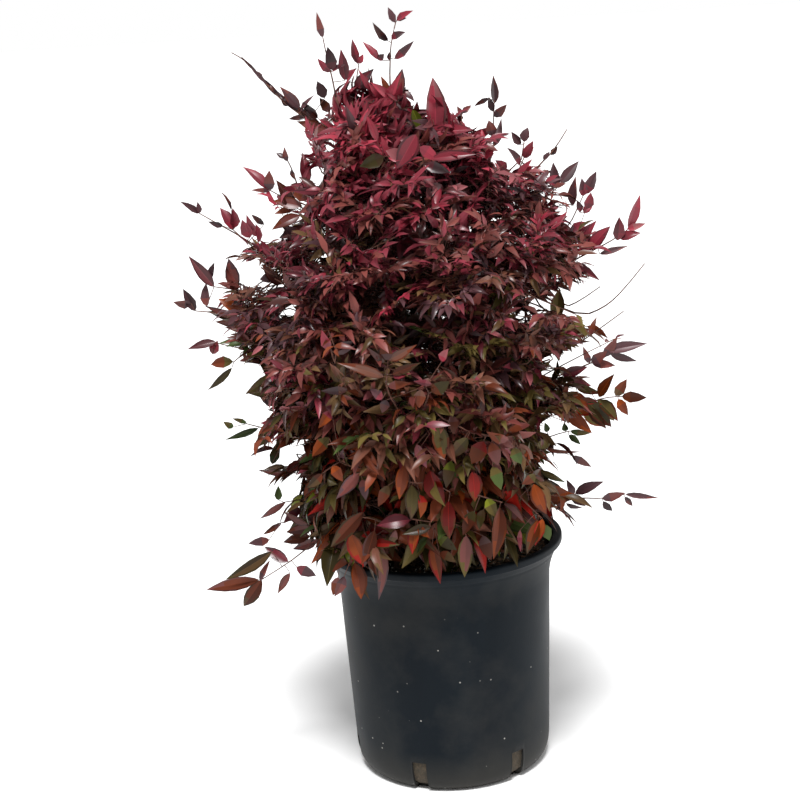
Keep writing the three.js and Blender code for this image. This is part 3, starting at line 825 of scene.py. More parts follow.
# Side twigs (their place on the spray and their length), the places of their leaflet pairs, and leaf size
sprayKinds = {
    "fine": {"sides": ((0.04, 33), (0.36, 29), (0.66, 21)), "pairs": (0.4, 0.72), "leafScale": 1},
    "plain": {"sides": ((0.1, 34), (0.5, 27)), "pairs": (0.55,), "leafScale": 1},
    "inner": {"sides": ((0.1, 34), (0.5, 27)), "pairs": (0.55,), "leafScale": 1.35},
}
kindLimits = {"innerDepth": 60, "fineLeaf": 28}
twigRadii = {  # at the root and at the tip
    "bough": (1.3, 0.9), "spray": (0.8, 0.4), "side": (0.55, 0.3), "named": (1.3, 0.65),
    "leafStalk": (0.55, 0.4), "shoot": (1.1, 0.45),
}
leafPlan = {
    "turn": 50, "turnScatter": 20, "droop": 0.1, "droopScatter": (-0.1, 1.5), "roll": 20.4,
    "length": (0.7, 1.4), "lengthPower": 1.8, "endLeaf": 1.12, "width": (0.85, 1.2), "tipShare": 0.4,
    "fold": (0.12, 0.55), "arch": (0.02, 0.1), "drop": (0, 0.3), "blunt": (0, 0.6),
    "lowest": 252, "clearAt": (0.5, 0.75, 1), "seenAt": (0.5, 1),  # parts of its length that are tested
}
# What changes with height: how far leaves face outwards, how far they droop, their length, their width as a
# share of it, how steeply sprays rise, and how often a leaf or its outer half has a colour of its own
habitNames = ("outwards", "droop", "length", "width", "rise", "ownColour")
habit = {
    250: (0.6, 0.45, 42, 0.37, -0.6, 0.5),
    350: (0.45, 0.24, 32, 0.37, -0.2, 0.5),
    450: (0.38, 0.08, 21, 0.36, 0, 0.3),
    550: (0.36, 0.02, 18, 0.34, 0.1, 0.2),
    660: (0.4, 0, 19, 0.33, 0.3, 0.14),
    760: (0.48, -0.15, 25, 0.31, 0.7, 0.15),
    870: (0.6, -0.3, 32, 0.28, 1.2, 0.1),
}
habitHeights = np.array(list(habit), float)
habitTable = np.array(list(habit.values()))
# Painted shade: how many tones darker a leaf is dealt, by its depth in the crown and by its height (low
# leaves darker, the top lighter)
paintedShade = {
    "depth": ((30, 100), (0, 3)),
    "height": ((250, 340, 430, 640, 740), (2.6, 0.9, 0.1, 0.1, -0.8)),
}


def habitAt(heights, name):
    return np.interp(heights, habitHeights, habitTable[:, habitNames.index(name)])


def facingAt(points):
    # outwards and up: share * outward + (1 - share) * up
    outward = unit((points - crownCentre) * np.array([1, 1, 0]))
    share = habitAt(points[..., 2:], "outwards")
    return unit(outward * share + upwards * (1 - share))


def pointOn(curve, share):
    # (1-t)^2 a + 2 t (1-t) b + t^2 c
    return (1 - share) ** 2 * curve[0] + 2 * share * (1 - share) * curve[1] + share**2 * curve[2]


def headingOn(curve, share):
    return unit((1 - share) * (curve[1] - curve[0]) + share * (curve[2] - curve[1]))


def twigCurves(starts, ends):
    # start, middle and end, with the middle raised by length * bow * droop
    middles = (starts + ends) / 2
    bow = np.linalg.norm(ends - starts, axis=1) * sprayPlan["bow"]
    middles[:, 2] += bow * habitAt(starts[:, 2], "droop")
    return np.array([starts, middles, ends])


def depthOf(points):
    # how far inside the crown's outline a point stands, measured level
    return outlineRadius(points[..., 2]) - np.linalg.norm((points - crownCentre)[..., :2], axis=-1)


def withinCell(points, number):
    # nearer to the numbered mass than to any other
    distances = np.linalg.norm(points[..., None, :] - massCentres, axis=-1)
    return distances.argmin(-1) == number


potSpace = {  # radii, then the height that leaves and twigs keep over
    "wall": (118, 145, pot["height"] + 3),
    "soil": (122, soilTop + 3),
    "mixEdge": (130, soilTop - 7),
}


def clearOfPot(points):
    # off the wall, over the soil, and not in the mix beside the wall
    distance, height = np.linalg.norm(points[..., :2], axis=-1), points[..., 2]
    innerSide, outerSide, wallTop = potSpace["wall"]
    blocked = (distance > innerSide) & (distance < outerSide) & (height < wallTop)
    for radius, level in (potSpace["soil"], potSpace["mixEdge"]):
        blocked |= (distance < radius) & (height < level)
    return ~blocked


# Places where the sky shows through the crown's edge, seen from the front
hollows = np.array([  # x and z on the upright plane through the crown, and radius
    (-151, 708, 13), (-162, 704, 11), (-118, 700, 10), (-175, 661, 10), (-171, 639, 10), (-159, 652, 7),
    (-137, 674, 8), (-144, 655, 6), (-203, 599, 14), (-190, 593, 11), (-176, 585, 11), (-117, 607, 6),
    (-158, 551, 7), (-213, 477, 17), (-210, 438, 17), (-223, 457, 13), (-177, 380, 13), (-158, 390, 8),
    (-173, 341, 14), (-201, 315, 8), (-162, 258, 13), (-159, 726, 10), (-42, 806, 8), (-25, 806, 7),
    (-4, 783, 8), (1, 813, 11), (62, 759, 14), (79, 738, 6), (100, 724, 12), (93, 707, 11), (108, 700, 8),
    (-99, 735, 6), (42, 779, 10), (172, 640, 10), (174, 593, 7), (181, 543, 20), (126, 541, 10),
    (156, 541, 13), (200, 554, 17), (105, 529, 6), (162, 472, 14), (181, 485, 10), (136, 477, 7),
    (131, 459, 7), (174, 434, 8), (137, 393, 14), (164, 395, 10), (125, 409, 6), (133, 343, 13),
    (154, 350, 8), (191, 522, 12), (-36, 241, 11), (-53, 251, 8), (-86, 295, 7), (-79, 321, 8),
    (-69, 311, 7), (-7, 805, 9), (3, 790, 7), (11, 774, 6), (-137, 741, 11), (-146, 731, 8),
    (-127, 733, 6), (-139, 752, 7), (-218, 627, 10), (-232, 505, 8),
], float)
frontEye = np.array([0, -1878.5, 896.3])  # where the hollows are seen from
twigParts = (0.25, 0.5, 0.75, 1)  # parts of a twig's length that are tested against the hollows


def outOfHollows(points):
    # the point carried along its line of sight to the upright plane: e + (p - e) (-ey) / (py - ey)
    share = -frontEye[1] / (points[..., 1] - frontEye[1])
    seen = (frontEye + (points - frontEye) * share[..., None])[..., [0, 2]]
    gaps = np.linalg.norm(seen[..., None, :] - hollows[:, :2], axis=-1)
    return (gaps > hollows[:, 2]).all(-1)


def clearOfHollows(curves):
    return np.all([outOfHollows(pointOn(curves, share)) for share in twigParts], axis=0)


# How often each family is dealt at each height; the rows are read between
familyShares = {
    250: {
        "orange": 2, "russet": 9, "scarlet": 1.6, "olive": 3, "green": 0.8, "lime": 0.5, "maroon": 3,
        "bronze": 2,
    },
    340: {
        "russet": 8, "umber": 1.4, "olive": 5, "orange": 1.4, "scarlet": 1.2, "maroon": 3, "green": 0.8,
        "bronze": 4, "lime": 0.3,
    },
    430: {
        "maroon": 3, "olive": 4.4, "russet": 4.4, "umber": 4, "plum": 1, "burgundy": 0.4, "green": 0.8,
        "orange": 0.6, "bronze": 5,
    },
    500: {
        "maroon": 6, "burgundy": 1, "plum": 1.4, "rose": 1.4, "bronze": 3.4, "russet": 2, "umber": 4.6,
        "olive": 2.2, "green": 0.4,
    },
    560: {
        "maroon": 8, "burgundy": 3, "plum": 2, "rose": 1, "bronze": 2.4, "russet": 0.6, "umber": 3,
        "olive": 1.4, "green": 0.3,
    },
    640: {"burgundy": 5, "maroon": 9, "crimson": 1.6, "rose": 1.6, "plum": 1.6, "bronze": 1.2, "umber": 1},
    740: {"crimson": 8, "burgundy": 8, "maroon": 2, "rose": 2, "plum": 1},
    860: {"crimson": 7, "burgundy": 7, "rose": 2, "plum": 2},
}
shareHeights = np.array(list(familyShares), float)
shareTable = np.array([[row.get(name, 0) for name in familyNames] for row in familyShares.values()], float)
runningShares = np.cumsum(shareTable / shareTable.sum(1, keepdims=True), axis=1)


def familyAt(heights, draws):
    # the running shares at each height, read between rows; the first one past the draw is dealt
    running = np.stack([np.interp(heights, shareHeights, column) for column in runningShares.T], axis=-1)
    return (running < draws[:, None]).sum(-1).clip(0, len(familyNames) - 1)


class Growth:
    # the twigs and leaflets of one mass, gathered as arrays
    def __init__(self):
        self.twigs, self.leaves = [], []

    def addTwigs(self, curves, rootRadius, tipRadius):
        count = curves.shape[1]
        self.twigs.append((curves, np.full(count, rootRadius), np.full(count, tipRadius)))

    def addLeaves(self, **arrays):
        self.leaves.append(arrays)


def leavesOn(growth, curves, share, hand, size, family, rng, tilt=0, plan=leafPlan):
    # a leaflet turned by hand * angle from its twig, facing outwards and up, with scatter on each turn
    count = curves.shape[1]
    point, heading = pointOn(curves, share), headingOn(curves, share)
    height = point[:, 2]
    facing = unit(facingAt(point) + tilt)
    turn = hand * np.radians(plan["turn"] + rng.uniform(-1, 1, count) * plan["turnScatter"])
    direction = turnAbout(heading, squareTo(facing, heading), turn)
    droop = habitAt(height, "droop") + plan["droop"]
    direction[:, 2] -= droop * rng.uniform(*plan["droopScatter"], count)
    direction = unit(direction)
    roll = np.radians(rng.normal(0, plan["roll"], count))
    normal = turnAbout(squareTo(facing, direction), direction, roll)
    length = size * mixValues(*plan["length"], rng.random(count) ** plan["lengthPower"])
    length = length if hand else length * plan["endLeaf"]
    kept = np.ones(count, bool)
    for part in plan["clearAt"]:
        place = point + direction * length[:, None] * part
        kept &= clearOfPot(place) & (place[:, 2] > plan["lowest"])
    for part in plan["seenAt"]:
        kept &= outOfHollows(point + direction * length[:, None] * part)
    width = habitAt(height, "width") * rng.uniform(*plan["width"], count)
    own = habitAt(height, "ownColour")
    departs, drawn = rng.random(count) < own, familyAt(height, rng.random(count))
    family = np.where(departs, drawn, family)
    departs, drawn = rng.random(count) < own * plan["tipShare"], familyAt(height, rng.random(count))
    tipFamily = np.where(departs, drawn, family)
    # painted shade: tones taken off deeper in the crown and low down, and added near the top
    shaded = np.interp(depthOf(point), *paintedShade["depth"]) + np.interp(height, *paintedShade["height"])
    tone = np.clip(rng.uniform(1, len(leafTones), count) - shaded, 0, len(leafTones) - 1).astype(int)
    shape = {key: rng.uniform(*plan[key], count) for key in ("fold", "arch", "drop", "blunt")}
    arrays = dict(point=point, direction=direction, normal=normal, length=length, width=width,
                  family=family, tipFamily=tipFamily, tone=tone, **shape)
    growth.addLeaves(**{key: values[kept] for key, values in arrays.items()})


def growSideTwigs(growth, sprays, place, hand, reach, pairs, rng, plan=sprayPlan):
    # one side twig for each spray, kept where it stays inside the crown, off the pot and out of the hollows
    curves, size, families, tilt = (sprays[key] for key in ("curves", "size", "families", "tilt"))
    point, heading = pointOn(curves, place), headingOn(curves, place)
    facing = unit(facingAt(point) + tilt)
    scatter = rng.uniform(-plan["sideScatter"], plan["sideScatter"], len(size))
    turn = hand * np.radians(plan["sideTurn"] + scatter)
    heading = turnAbout(heading, squareTo(facing, heading), turn)
    heading[:, 2] -= habitAt(point[:, 2], "droop") * rng.uniform(*plan["sideDroop"], len(size))
    heading = unit(heading)
    length = reach * rng.uniform(*plan["sideLength"], len(size))
    side = twigCurves(point, point + heading * length[:, None])
    leafReach = side[2] + heading * size[:, None] * plan["overhangShare"]
    fits = (depthOf(leafReach) > -plan["overhang"]) & clearOfPot(side[2]) & clearOfHollows(side)
    if not fits.any():
        return
    side, size, families, tilt = side[:, fits], size[fits], families[fits], tilt[fits]
    growth.addTwigs(side, *twigRadii["side"])
    leavesOn(growth, side, plan["endPlace"], 0, size, families, rng, tilt)
    for along in pairs:
        for leafHand in (-1, 1):
            leavesOn(growth, side, along, leafHand, size * plan["sideLeaf"], families, rng, tilt)


def growSprays(growth, laid, kind, rng, plan=sprayPlan):
    # the spray's own twig, leaflets at its end, then side twigs in pairs with leaflets of their own
    starts, headings = laid["starts"], laid["headings"]
    size = habitAt(starts[:, 2], "length") * kind["leafScale"]
    length = np.maximum(laid["lengths"] - size, plan["least"])
    curves = twigCurves(starts, starts + headings * length[:, None])
    fits = clearOfHollows(curves)
    curves, size, families = curves[:, fits], size[fits], laid["families"][fits]
    growth.addTwigs(curves, *twigRadii["spray"])
    tiltSize = math.sin(math.radians(plan["tilt"])) * plan["tiltShare"]
    tilt = rng.normal(0, tiltSize, (len(size), 3))
    leavesOn(growth, curves, plan["endPlace"], 0, size, families, rng, tilt)
    for hand in (-1, 1):
        leavesOn(growth, curves, plan["lastPair"], hand, size, families, rng, tilt)
    sprays = {"curves": curves, "size": size, "families": families, "tilt": tilt}
    for place, reach in kind["sides"]:
        for hand in (-1, 1):
            growSideTwigs(growth, sprays, place, hand, reach, kind["pairs"], rng)


def stemCurve(mass):
    # from the cane's tip along its aim, then levelling out
    half = mass["tier"]["stem"] / 2
    start = mass["tip"]
    bend = start + mass["aim"] * half
    levelled = unit(mixValues(mass["aim"], radial(mass["bearing"]), stemPlan["levelling"]))
    return np.array([start, bend, bend + levelled * half])[:, None]


def reachAlong(starts, directions, number, plan):
    # even steps for as long as they stay in the mass's own space
    steps = np.arange(plan["step"], plan["longest"] + plan["step"], plan["step"])
    points = starts[:, None] + directions[:, None] * steps[None, :, None]
    fits = withinCell(points, number) & (depthOf(points) > 0) & clearOfPot(points)
    return np.cumprod(fits, axis=1).sum(1) * float(plan["step"])


def boughTries(mass, number, rng, plan):
    # boughs turn round the stem by the golden angle and lean further out the nearer its foot they stand
    tier, stem = mass["tier"], stemCurve(mass)
    count = plan["tries"]
    along = (np.arange(count) + 0.5) / count
    golden = math.pi * (3 - math.sqrt(5))
    side = unit(np.cross(upwards, radial(mass["bearing"])))
    over = unit(np.cross(mass["aim"], side))
    least, extra = plan["aside"]
    polar = np.radians(mixValues(least, tier["spread"] + extra, along))[:, None]
    swing = rng.uniform(-plan["turnScatter"], plan["turnScatter"], count)
    turn = (np.arange(count) * golden + swing + mass["bearing"] * 3)[:, None]
    directions = (mass["aim"] * np.cos(polar) + side * np.sin(polar) * np.cos(turn)
                  + over * np.sin(polar) * np.sin(turn))
    starts = np.concatenate([pointOn(stem, share) for share in 1 - plan["downStem"] * along])
    reach = reachAlong(starts, directions, number, plan) * (1 - plan["shortening"] * rng.random(count) ** 2)
    return starts, directions, reach


def thinTips(tips, apart, rng):
    # in random order, a tip is kept where none kept before it is nearer than its own spacing
    kept = []
    for k in rng.permutation(len(tips)):
        if not kept or np.linalg.norm(tips[kept] - tips[k], axis=1).min() > apart[k]:
            kept.append(k)
    return np.sort(kept)


def laySprays(plan, sprays, rng):
    # a spray ends at its bough's tip, and heads partly along it and partly away from the crown's middle
    tries = [boughTries(mass, number, rng, plan) for number, mass in enumerate(masses)]
    roots, directions, reaches = (np.concatenate([group[k] for group in tries]) for k in range(3))
    tips = roots + directions * reaches[:, None]
    depths = depthOf(tips)
    peakPlace, peakHeight = plan["peak"]
    aside = tips[:, 0] - peakPlace
    roof = peakHeight - np.abs(aside) * np.where(aside < 0, *plan["slopes"])
    usable = np.flatnonzero((reaches > plan["shortest"]) & (tips[:, 2] < roof))
    apart = np.interp(depths, plan["depths"], plan["apart"])
    kept = usable[thinTips(tips[usable], apart[usable], rng)]
    moved = rng.uniform(*plan["edgeScatter"], len(tips)) * (depths < plan["edgeDepth"])
    tips += directions * moved[:, None]
    away = unit((tips - crownCentre) * np.array([1, 1, 0])) + upwards * habitAt(tips[:, 2:], "rise")
    wander = rng.normal(0, sprays["wander"], tips.shape)
    headings = unit(directions * sprays["follow"] + unit(away) + wander)
    lengths = np.interp(tips[:, 2], sprays["heights"], sprays["length"])
    lengths *= rng.uniform(*sprays["lengthScatter"], len(tips))
    patches = sprays["patchShare"] * rolling(tips, sprays["patch"], sprays["patchSeed"])
    families = familyAt(tips[:, 2], (patches + rng.uniform(0, sprays["patchScatter"], len(tips))) % 1)
    waves = rolling(tips, sprays["dentWidth"], sprays["dentSeed"])
    dents = np.clip(waves - sprays["dentStart"], 0, 1) * sprays["dentDepth"]
    shortened, drawnIn = (np.clip(dents - depths, 0, limit) for limit in sprays["dentLimits"])
    lengths -= shortened
    starts = tips - headings * lengths[:, None] - directions * drawnIn[:, None]
    fine = habitAt(tips[:, 2], "length") < kindLimits["fineLeaf"]
    kinds = np.where(depths > kindLimits["innerDepth"], "inner", np.where(fine, "fine", "plain"))
    owners = np.repeat(np.arange(len(masses)), plan["tries"])
    laid = {"owners": owners, "kinds": kinds, "families": families, "roots": roots, "starts": starts,
            "headings": headings, "lengths": lengths}
    return {key: values[kept] for key, values in laid.items()}


def growCrown(plan, sprays):
    # each mass's stem, its boughs, and then its sprays, one kind after another
    rng = np.random.default_rng(plan["seed"])
    laid = laySprays(plan, sprays, rng)
    growths = []
    for number, mass in enumerate(masses):
        growth = Growth()
        growths.append(growth)
        stemRoot = mass["tier"]["thickness"] / 2 * canePlan["tipShare"]
        growth.addTwigs(stemCurve(mass), stemRoot, stemPlan["tipRadius"])
        own = {key: values[laid["owners"] == number] for key, values in laid.items()}
        gap = np.linalg.norm(own["starts"] - own["roots"], axis=1, keepdims=True)
        bends = own["starts"] - own["headings"] * gap * plan["bend"]
        growth.addTwigs(np.array([own["roots"], bends, own["starts"]]), *twigRadii["bough"])
        for name, kind in sprayKinds.items():
            some = {key: values[own["kinds"] == name] for key, values in own.items()}
            if len(some["starts"]):
                growSprays(growth, some, kind, rng)
    print(len(laid["starts"]), "sprays")
    return growths


growths = growCrown(boughPlan, sprayPlan)
print("leaflets:", [sum(len(group["length"]) for group in growth.leaves) for growth in growths])


# Sprays placed one by one, each in its own upright plane: those that stand out of the crown, and the
# larger leaves in front of it and over the rim
namedSprays = [  # depth, family, the twig's points, then leaves: from, to, width, own family, its tip's
    (-10, "plum", [(-83, 729), (-111, 755), (-129, 771), (-147, 786), (-162, 804), (-175, 821), (-187, 835),
                   (-199, 842)],
     [(-129, 778, -149, 803, 10), (-128, 774, -112, 791, 8), (-101, 787, -108, 806, 12),
      (-123, 767, -143, 767, 6), (-168, 812, -173, 821, 4), (-155, 795, -160, 806, 5),
      (-142, 781, -150, 789, 5), (-147, 787, -138, 796, 5)]),
    (0, "burgundy", [(-26, 760), (-29, 796), (-27, 821), (-25, 842), (-18, 864)],
     [(-19, 863, -26, 880, 7, "plum"), (-17, 865, 2, 875, 8), (-16, 865, -6, 867, 5),
      (-28, 844, -44, 865, 8, "plum"), (-24, 846, -8, 853, 8), (-39, 824, -56, 846, 8),
      (-40, 824, -33, 830, 7), (-27, 823, -26, 833, 7), (-22, 824, 1, 842, 8)]),
    (-15, "burgundy", [(-87, 771), (-90, 804), (-96, 836), (-98, 852)],
     [(-98, 852, -103, 879, 7, "plum"), (-90, 817, -93, 842, 13), (-92, 815, -106, 830, 8),
      (-90, 815, -75, 823, 8), (-77, 805, -79, 839, 11)]),
    (10, "burgundy", [(-75, 769), (-68, 793), (-62, 819)],
     [(-63, 821, -68, 849, 8), (-62, 821, -56, 831, 6), (-75, 802, -64, 817, 11),
      (-68, 793, -46, 815, 14)]),
    (-30, "maroon", [(-24, 758), (-21, 786)],
     [(-20, 785, -14, 815, 13), (-30, 788, -37, 808, 7), (-16, 789, -2, 779, 8)]),
    (-60, "rose", [(13, 728), (16, 747)],
     [(18, 745, 20, 805, 25, "crimson"), (10, 747, 59, 749, 19, "crimson"),
      (-40, 772, 5, 763, 11, "burgundy"), (-5, 772, 6, 742, 11, "lime", "bronze"),
      (22, 732, 53, 743, 12, "burgundy")]),
    (-125, "crimson", [(7, 712), (0, 735), (-2, 747)],
     [(-3, 751, -25, 717, 23), (-17, 728, -35, 737, 15), (-38, 730, -64, 722, 17, "bronze", "olive"),
      (12, 725, 58, 729, 12), (0, 738, 20, 723, 13, "burgundy"), (4, 719, 30, 710, 12, "burgundy")]),
    (20, "plum", [(83, 705), (83, 741), (86, 771)],
     [(86, 768, 88, 800, 10), (84, 754, 100, 766, 10), (84, 759, 80, 776, 7), (80, 774, 63, 766, 5),
      (82, 732, 79, 750, 12), (86, 722, 94, 752, 7)]),
    (0, "plum", [(47, 731), (48, 760)],
     [(48, 758, 44, 769, 6), (49, 761, 60, 769, 6)]),
    (15, "plum", [(122, 692), (117, 725)],
     [(117, 724, 122, 740, 11), (113, 721, 103, 736, 8), (118, 708, 128, 718, 7)]),
    (-10, "plum", [(114, 671), (127, 697), (144, 711), (155, 725), (163, 737)],
     [(136, 705, 143, 714, 5), (145, 710, 152, 719, 6)]),
    (-20, "plum", [(138, 648), (148, 674)],
     [(148, 674, 145, 703, 12), (153, 679, 175, 703, 12), (165, 654, 167, 687, 11)]),
    (10, "burgundy", [(170, 628), (180, 660)],
     [(180, 660, 180, 680, 10), (182, 662, 197, 687, 12), (177, 643, 173, 656, 7),
      (180, 641, 191, 650, 8)]),
    (-25, "crimson", [(148, 586), (184, 603), (209, 614), (224, 624)],
     [(213, 613, 216, 639, 15), (225, 626, 240, 662, 15, "burgundy"), (224, 625, 245, 630, 7),
      (217, 614, 239, 621, 11, "burgundy"), (182, 604, 205, 630, 17), (170, 599, 189, 620, 13),
      (193, 599, 225, 607, 6, "plum"), (155, 589, 193, 572, 13)]),
    (-5, "russet", [(165, 524), (196, 533), (219, 551), (245, 582)], []),
    (5, "russet", [(122, 482), (161, 488), (190, 506), (221, 527)], []),
    (0, "russet", [(149, 536), (168, 540), (195, 558)], []),
    (-20, "olive", [(112, 511), (141, 527)],
     [(141, 527, 148, 561, 18), (143, 528, 183, 504, 12, "russet"), (179, 506, 188, 527, 6, "maroon")]),
    (-10, "plum", [(145, 459), (179, 472), (198, 478), (209, 486)],
     [(179, 472, 172, 492, 7), (181, 473, 199, 486, 12), (195, 479, 211, 501, 12),
      (199, 485, 244, 494, 13), (203, 481, 235, 469, 8), (182, 471, 209, 467, 10)]),
    (-30, "orange", [(141, 413), (170, 425), (187, 437), (212, 436)],
     [(186, 437, 204, 466, 13), (205, 437, 218, 456, 12, "bronze"), (212, 436, 240, 434, 13),
      (208, 433, 218, 414, 11), (184, 433, 207, 409, 18, "olive"), (144, 423, 178, 397, 18, "russet"),
      (159, 421, 189, 430, 15)]),
    (15, "green", [(114, 372), (135, 384), (156, 387)],
     [(129, 387, 127, 399, 7), (151, 387, 149, 397, 7), (156, 387, 180, 382, 7),
      (154, 382, 168, 370, 7)]),
    (-25, "russet", [(100, 378), (127, 378)],
     [(123, 380, 165, 366, 18), (154, 368, 177, 351, 8, "plum")]),
    (20, "olive", [(96, 344), (119, 340)],
     [(119, 340, 150, 321, 7)]),
    (-10, "plum", [(121, 298), (155, 315), (188, 309), (213, 314)],
     [(155, 317, 148, 335, 8), (157, 318, 189, 334, 13), (152, 313, 169, 304, 8),
      (146, 307, 165, 299, 6), (188, 310, 215, 317, 10), (189, 307, 200, 293, 8),
      (215, 314, 254, 308, 6), (214, 311, 224, 297, 6)]),
    (-45, "orange", [(91, 325), (108, 324)],
     [(100, 334, 154, 325, 26, "russet")]),
    (10, "plum", [(-137, 679), (-140, 694), (-146, 716), (-153, 729)],
     [(-149, 719, -151, 735, 6), (-152, 722, -161, 729, 6), (-145, 709, -142, 697, 5)]),
    (-15, "crimson", [(-123, 671), (-126, 695)],
     [(-126, 695, -130, 731, 12)]),
    (0, "plum", [(-142, 671), (-170, 689)],
     [(-170, 689, -200, 718, 11, "burgundy"), (-169, 689, -169, 711, 13), (-170, 688, -191, 691, 5),
      (-147, 668, -161, 700, 15, "maroon"), (-142, 669, -167, 662, 8, "maroon")]),
    (15, "plum", [(-200, 632), (-229, 650), (-253, 666)],
     [(-253, 666, -273, 682, 7), (-253, 666, -254, 679, 6)]),
    (-15, "crimson", [(-183, 619), (-201, 637), (-213, 649)],
     [(-213, 671, -222, 693, 4, "plum"), (-213, 649, -226, 675, 15), (-211, 651, -211, 674, 11),
      (-224, 654, -240, 660, 6, "plum"), (-195, 639, -202, 660, 14), (-184, 640, -197, 665, 11),
      (-178, 653, -192, 665, 6, "plum")]),
    (10, "burgundy", [(-189, 568), (-216, 577), (-243, 582)],
     [(-243, 582, -268, 621, 13, "rose"), (-249, 589, -241, 610, 8, "plum"),
      (-219, 578, -224, 613, 18, "maroon"), (-253, 560, -253, 587, 11, "maroon")]),
    (-10, "plum", [(-215, 543), (-243, 557), (-264, 559)],
     [(-264, 559, -276, 585, 11), (-268, 568, -288, 571, 10)]),
    (5, "rose", [(-202, 507), (-225, 511), (-246, 518)],
     [(-246, 519, -279, 515, 10), (-251, 505, -244, 520, 11)]),
    (-20, "olive", [(-191, 517), (-217, 506), (-224, 500)],
     [(-225, 500, -254, 497, 14, "olive"), (-227, 493, -259, 465, 7), (-190, 525, -240, 525, 11),
      (-185, 531, -228, 530, 11, "russet")]),
    (-15, "olive", [(-153, 450), (-173, 460)],
     [(-170, 464, -217, 456, 14), (-152, 470, -196, 462, 12, "maroon")]),
    (10, "green", [(-175, 407), (-202, 413), (-219, 419)],
     [(-219, 420, -236, 426, 5), (-206, 413, -246, 402, 7), (-235, 416, -246, 424, 7)]),
    (-5, "olive", [(-157, 400), (-183, 416)],
     [(-183, 416, -211, 394, 10), (-188, 391, -217, 387, 8, "maroon"),
      (-192, 373, -182, 400, 11, "green")]),
    (10, "maroon", [(-138, 358), (-171, 355), (-190, 360)],
     [(-171, 355, -217, 359, 7)]),
    (5, "maroon", [(-142, 327), (-164, 325), (-183, 323)],
     [(-189, 326, -188, 343, 8, "green"), (-181, 323, -216, 300, 7),
      (-163, 315, -186, 299, 11, "burgundy")]),
    (-10, "maroon", [(-158, 305), (-186, 303)],
     [(-186, 303, -210, 288, 6), (-202, 283, -227, 280, 10)]),
    (-60, "orange", [(-137, 296), (-153, 288), (-175, 271), (-209, 252)],
     [(-177, 272, -206, 289, 15, "burgundy"), (-195, 285, -250, 255, 15, "bronze"),
      (-212, 252, -277, 241, 17, "russet"), (-209, 252, -235, 215, 18, "russet"),
      (-211, 251, -198, 275, 7, "plum"), (-176, 258, -194, 230, 8, "maroon"),
      (-168, 265, -146, 250, 13, "burgundy")]),
    (-80, "russet", [(-102, 324), (-109, 312)],
     [(-111, 324, -148, 276, 19), (-125, 287, -128, 256, 14), (-120, 257, -128, 234, 11, "maroon")]),
    (-146, "maroon", [(-87, 327), (-74, 323), (-63, 331)],
     [(-66, 313, -72, 253, 15), (-97, 296, -91, 255, 20, "russet"), (-109, 281, -121, 259, 11, "plum")]),
    (-160, "orange", [(-95, 349), (-82, 353), (-70, 348)],
     [(-98, 334, -87, 297, 20), (-72, 336, -86, 297, 15, "russet"),
      (-83, 357, -121, 320, 18, "russet", "bronze"), (-50, 335, -60, 315, 11, "maroon", "bronze")]),
    (-168, "orange", [(-39, 351), (-25, 348), (-12, 345)],
     [(-33, 348, -69, 345, 18, "burgundy"), (-26, 341, -34, 311, 14), (-16, 328, -29, 311, 7, "green"),
      (-12, 339, -43, 335, 10, "bronze"), (-1, 353, -15, 349, 12, "bronze", "russet"),
      (-28, 340, -13, 328, 8, "russet")]),
    (-150, "orange", [(-8, 332), (-1, 340), (12, 337), (24, 330)],
     [(-11, 314, -5, 269, 14), (26, 321, 21, 275, 18, "maroon", "olive"),
      (-4, 322, 15, 306, 13, "lime"), (44, 320, 51, 293, 17, "maroon"),
      (-4, 303, 14, 292, 10, "russet")]),
    (-176, "scarlet", [(-41, 398), (-25, 390), (-7, 393), (11, 379)],
     [(-29, 389, -31, 353, 18, "olive", "bronze"), (-21, 378, -20, 353, 12), (-9, 404, 3, 366, 23),
      (-36, 412, -43, 375, 14, "russet"), (9, 369, 7, 328, 18, "scarlet", "orange"),
      (-54, 390, -66, 368, 11, "bronze", "russet")]),
    (-168, "russet", [(32, 375), (49, 368), (66, 362)],
     [(36, 398, 38, 364, 19, "scarlet"), (36, 354, 21, 329, 14, "olive"),
      (63, 357, 54, 301, 18, "russet", "orange"), (50, 367, 59, 346, 13, "lime", "olive"),
      (46, 355, 39, 333, 10, "bronze")]),
    (-138, "russet", [(74, 373), (89, 354), (105, 337)],
     [(72, 373, 85, 334, 23, "scarlet", "russet"), (69, 351, 91, 328, 14, "maroon"),
      (105, 330, 90, 293, 14, "orange", "bronze"), (111, 325, 116, 306, 13, "green"),
      (85, 320, 84, 296, 5, "rose"), (110, 331, 100, 302, 10, "orange"),
      (102, 371, 113, 337, 18, "orange", "russet")]),
    (-172, "maroon", [(-69, 416), (-83, 406), (-103, 418)],
     [(-84, 404, -110, 379, 13), (-81, 397, -78, 375, 10), (-70, 415, -92, 408, 12),
      (-65, 410, -58, 394, 10), (-111, 414, -101, 397, 11, "orange"),
      (-123, 406, -140, 391, 10, "russet"), (-113, 445, -132, 426, 15, "olive", "orange"),
      (-108, 474, -123, 457, 10, "crimson", "orange")]),
    (-190, "olive", [(-5, 482), (5, 464), (20, 457), (35, 447)],
     [(-7, 477, -26, 447, 13, "maroon"), (1, 458, 7, 419, 20, "olive", "orange"),
      (32, 441, 12, 421, 17, "olive", "bronze"), (17, 466, 18, 446, 11, "maroon"),
      (-21, 437, -12, 411, 10, "rose"), (14, 417, 7, 389, 13, "lime", "bronze"),
      (-28, 418, -21, 401, 11, "maroon")]),
    (-182, "scarlet", [(46, 444), (60, 437), (79, 438)],
     [(49, 434, 35, 410, 20), (57, 432, 63, 407, 15, "russet"),
      (57, 406, 65, 381, 14, "olive", "green"), (98, 449, 70, 441, 14, "maroon"),
      (80, 425, 87, 407, 13, "olive"), (101, 395, 87, 385, 11, "olive"),
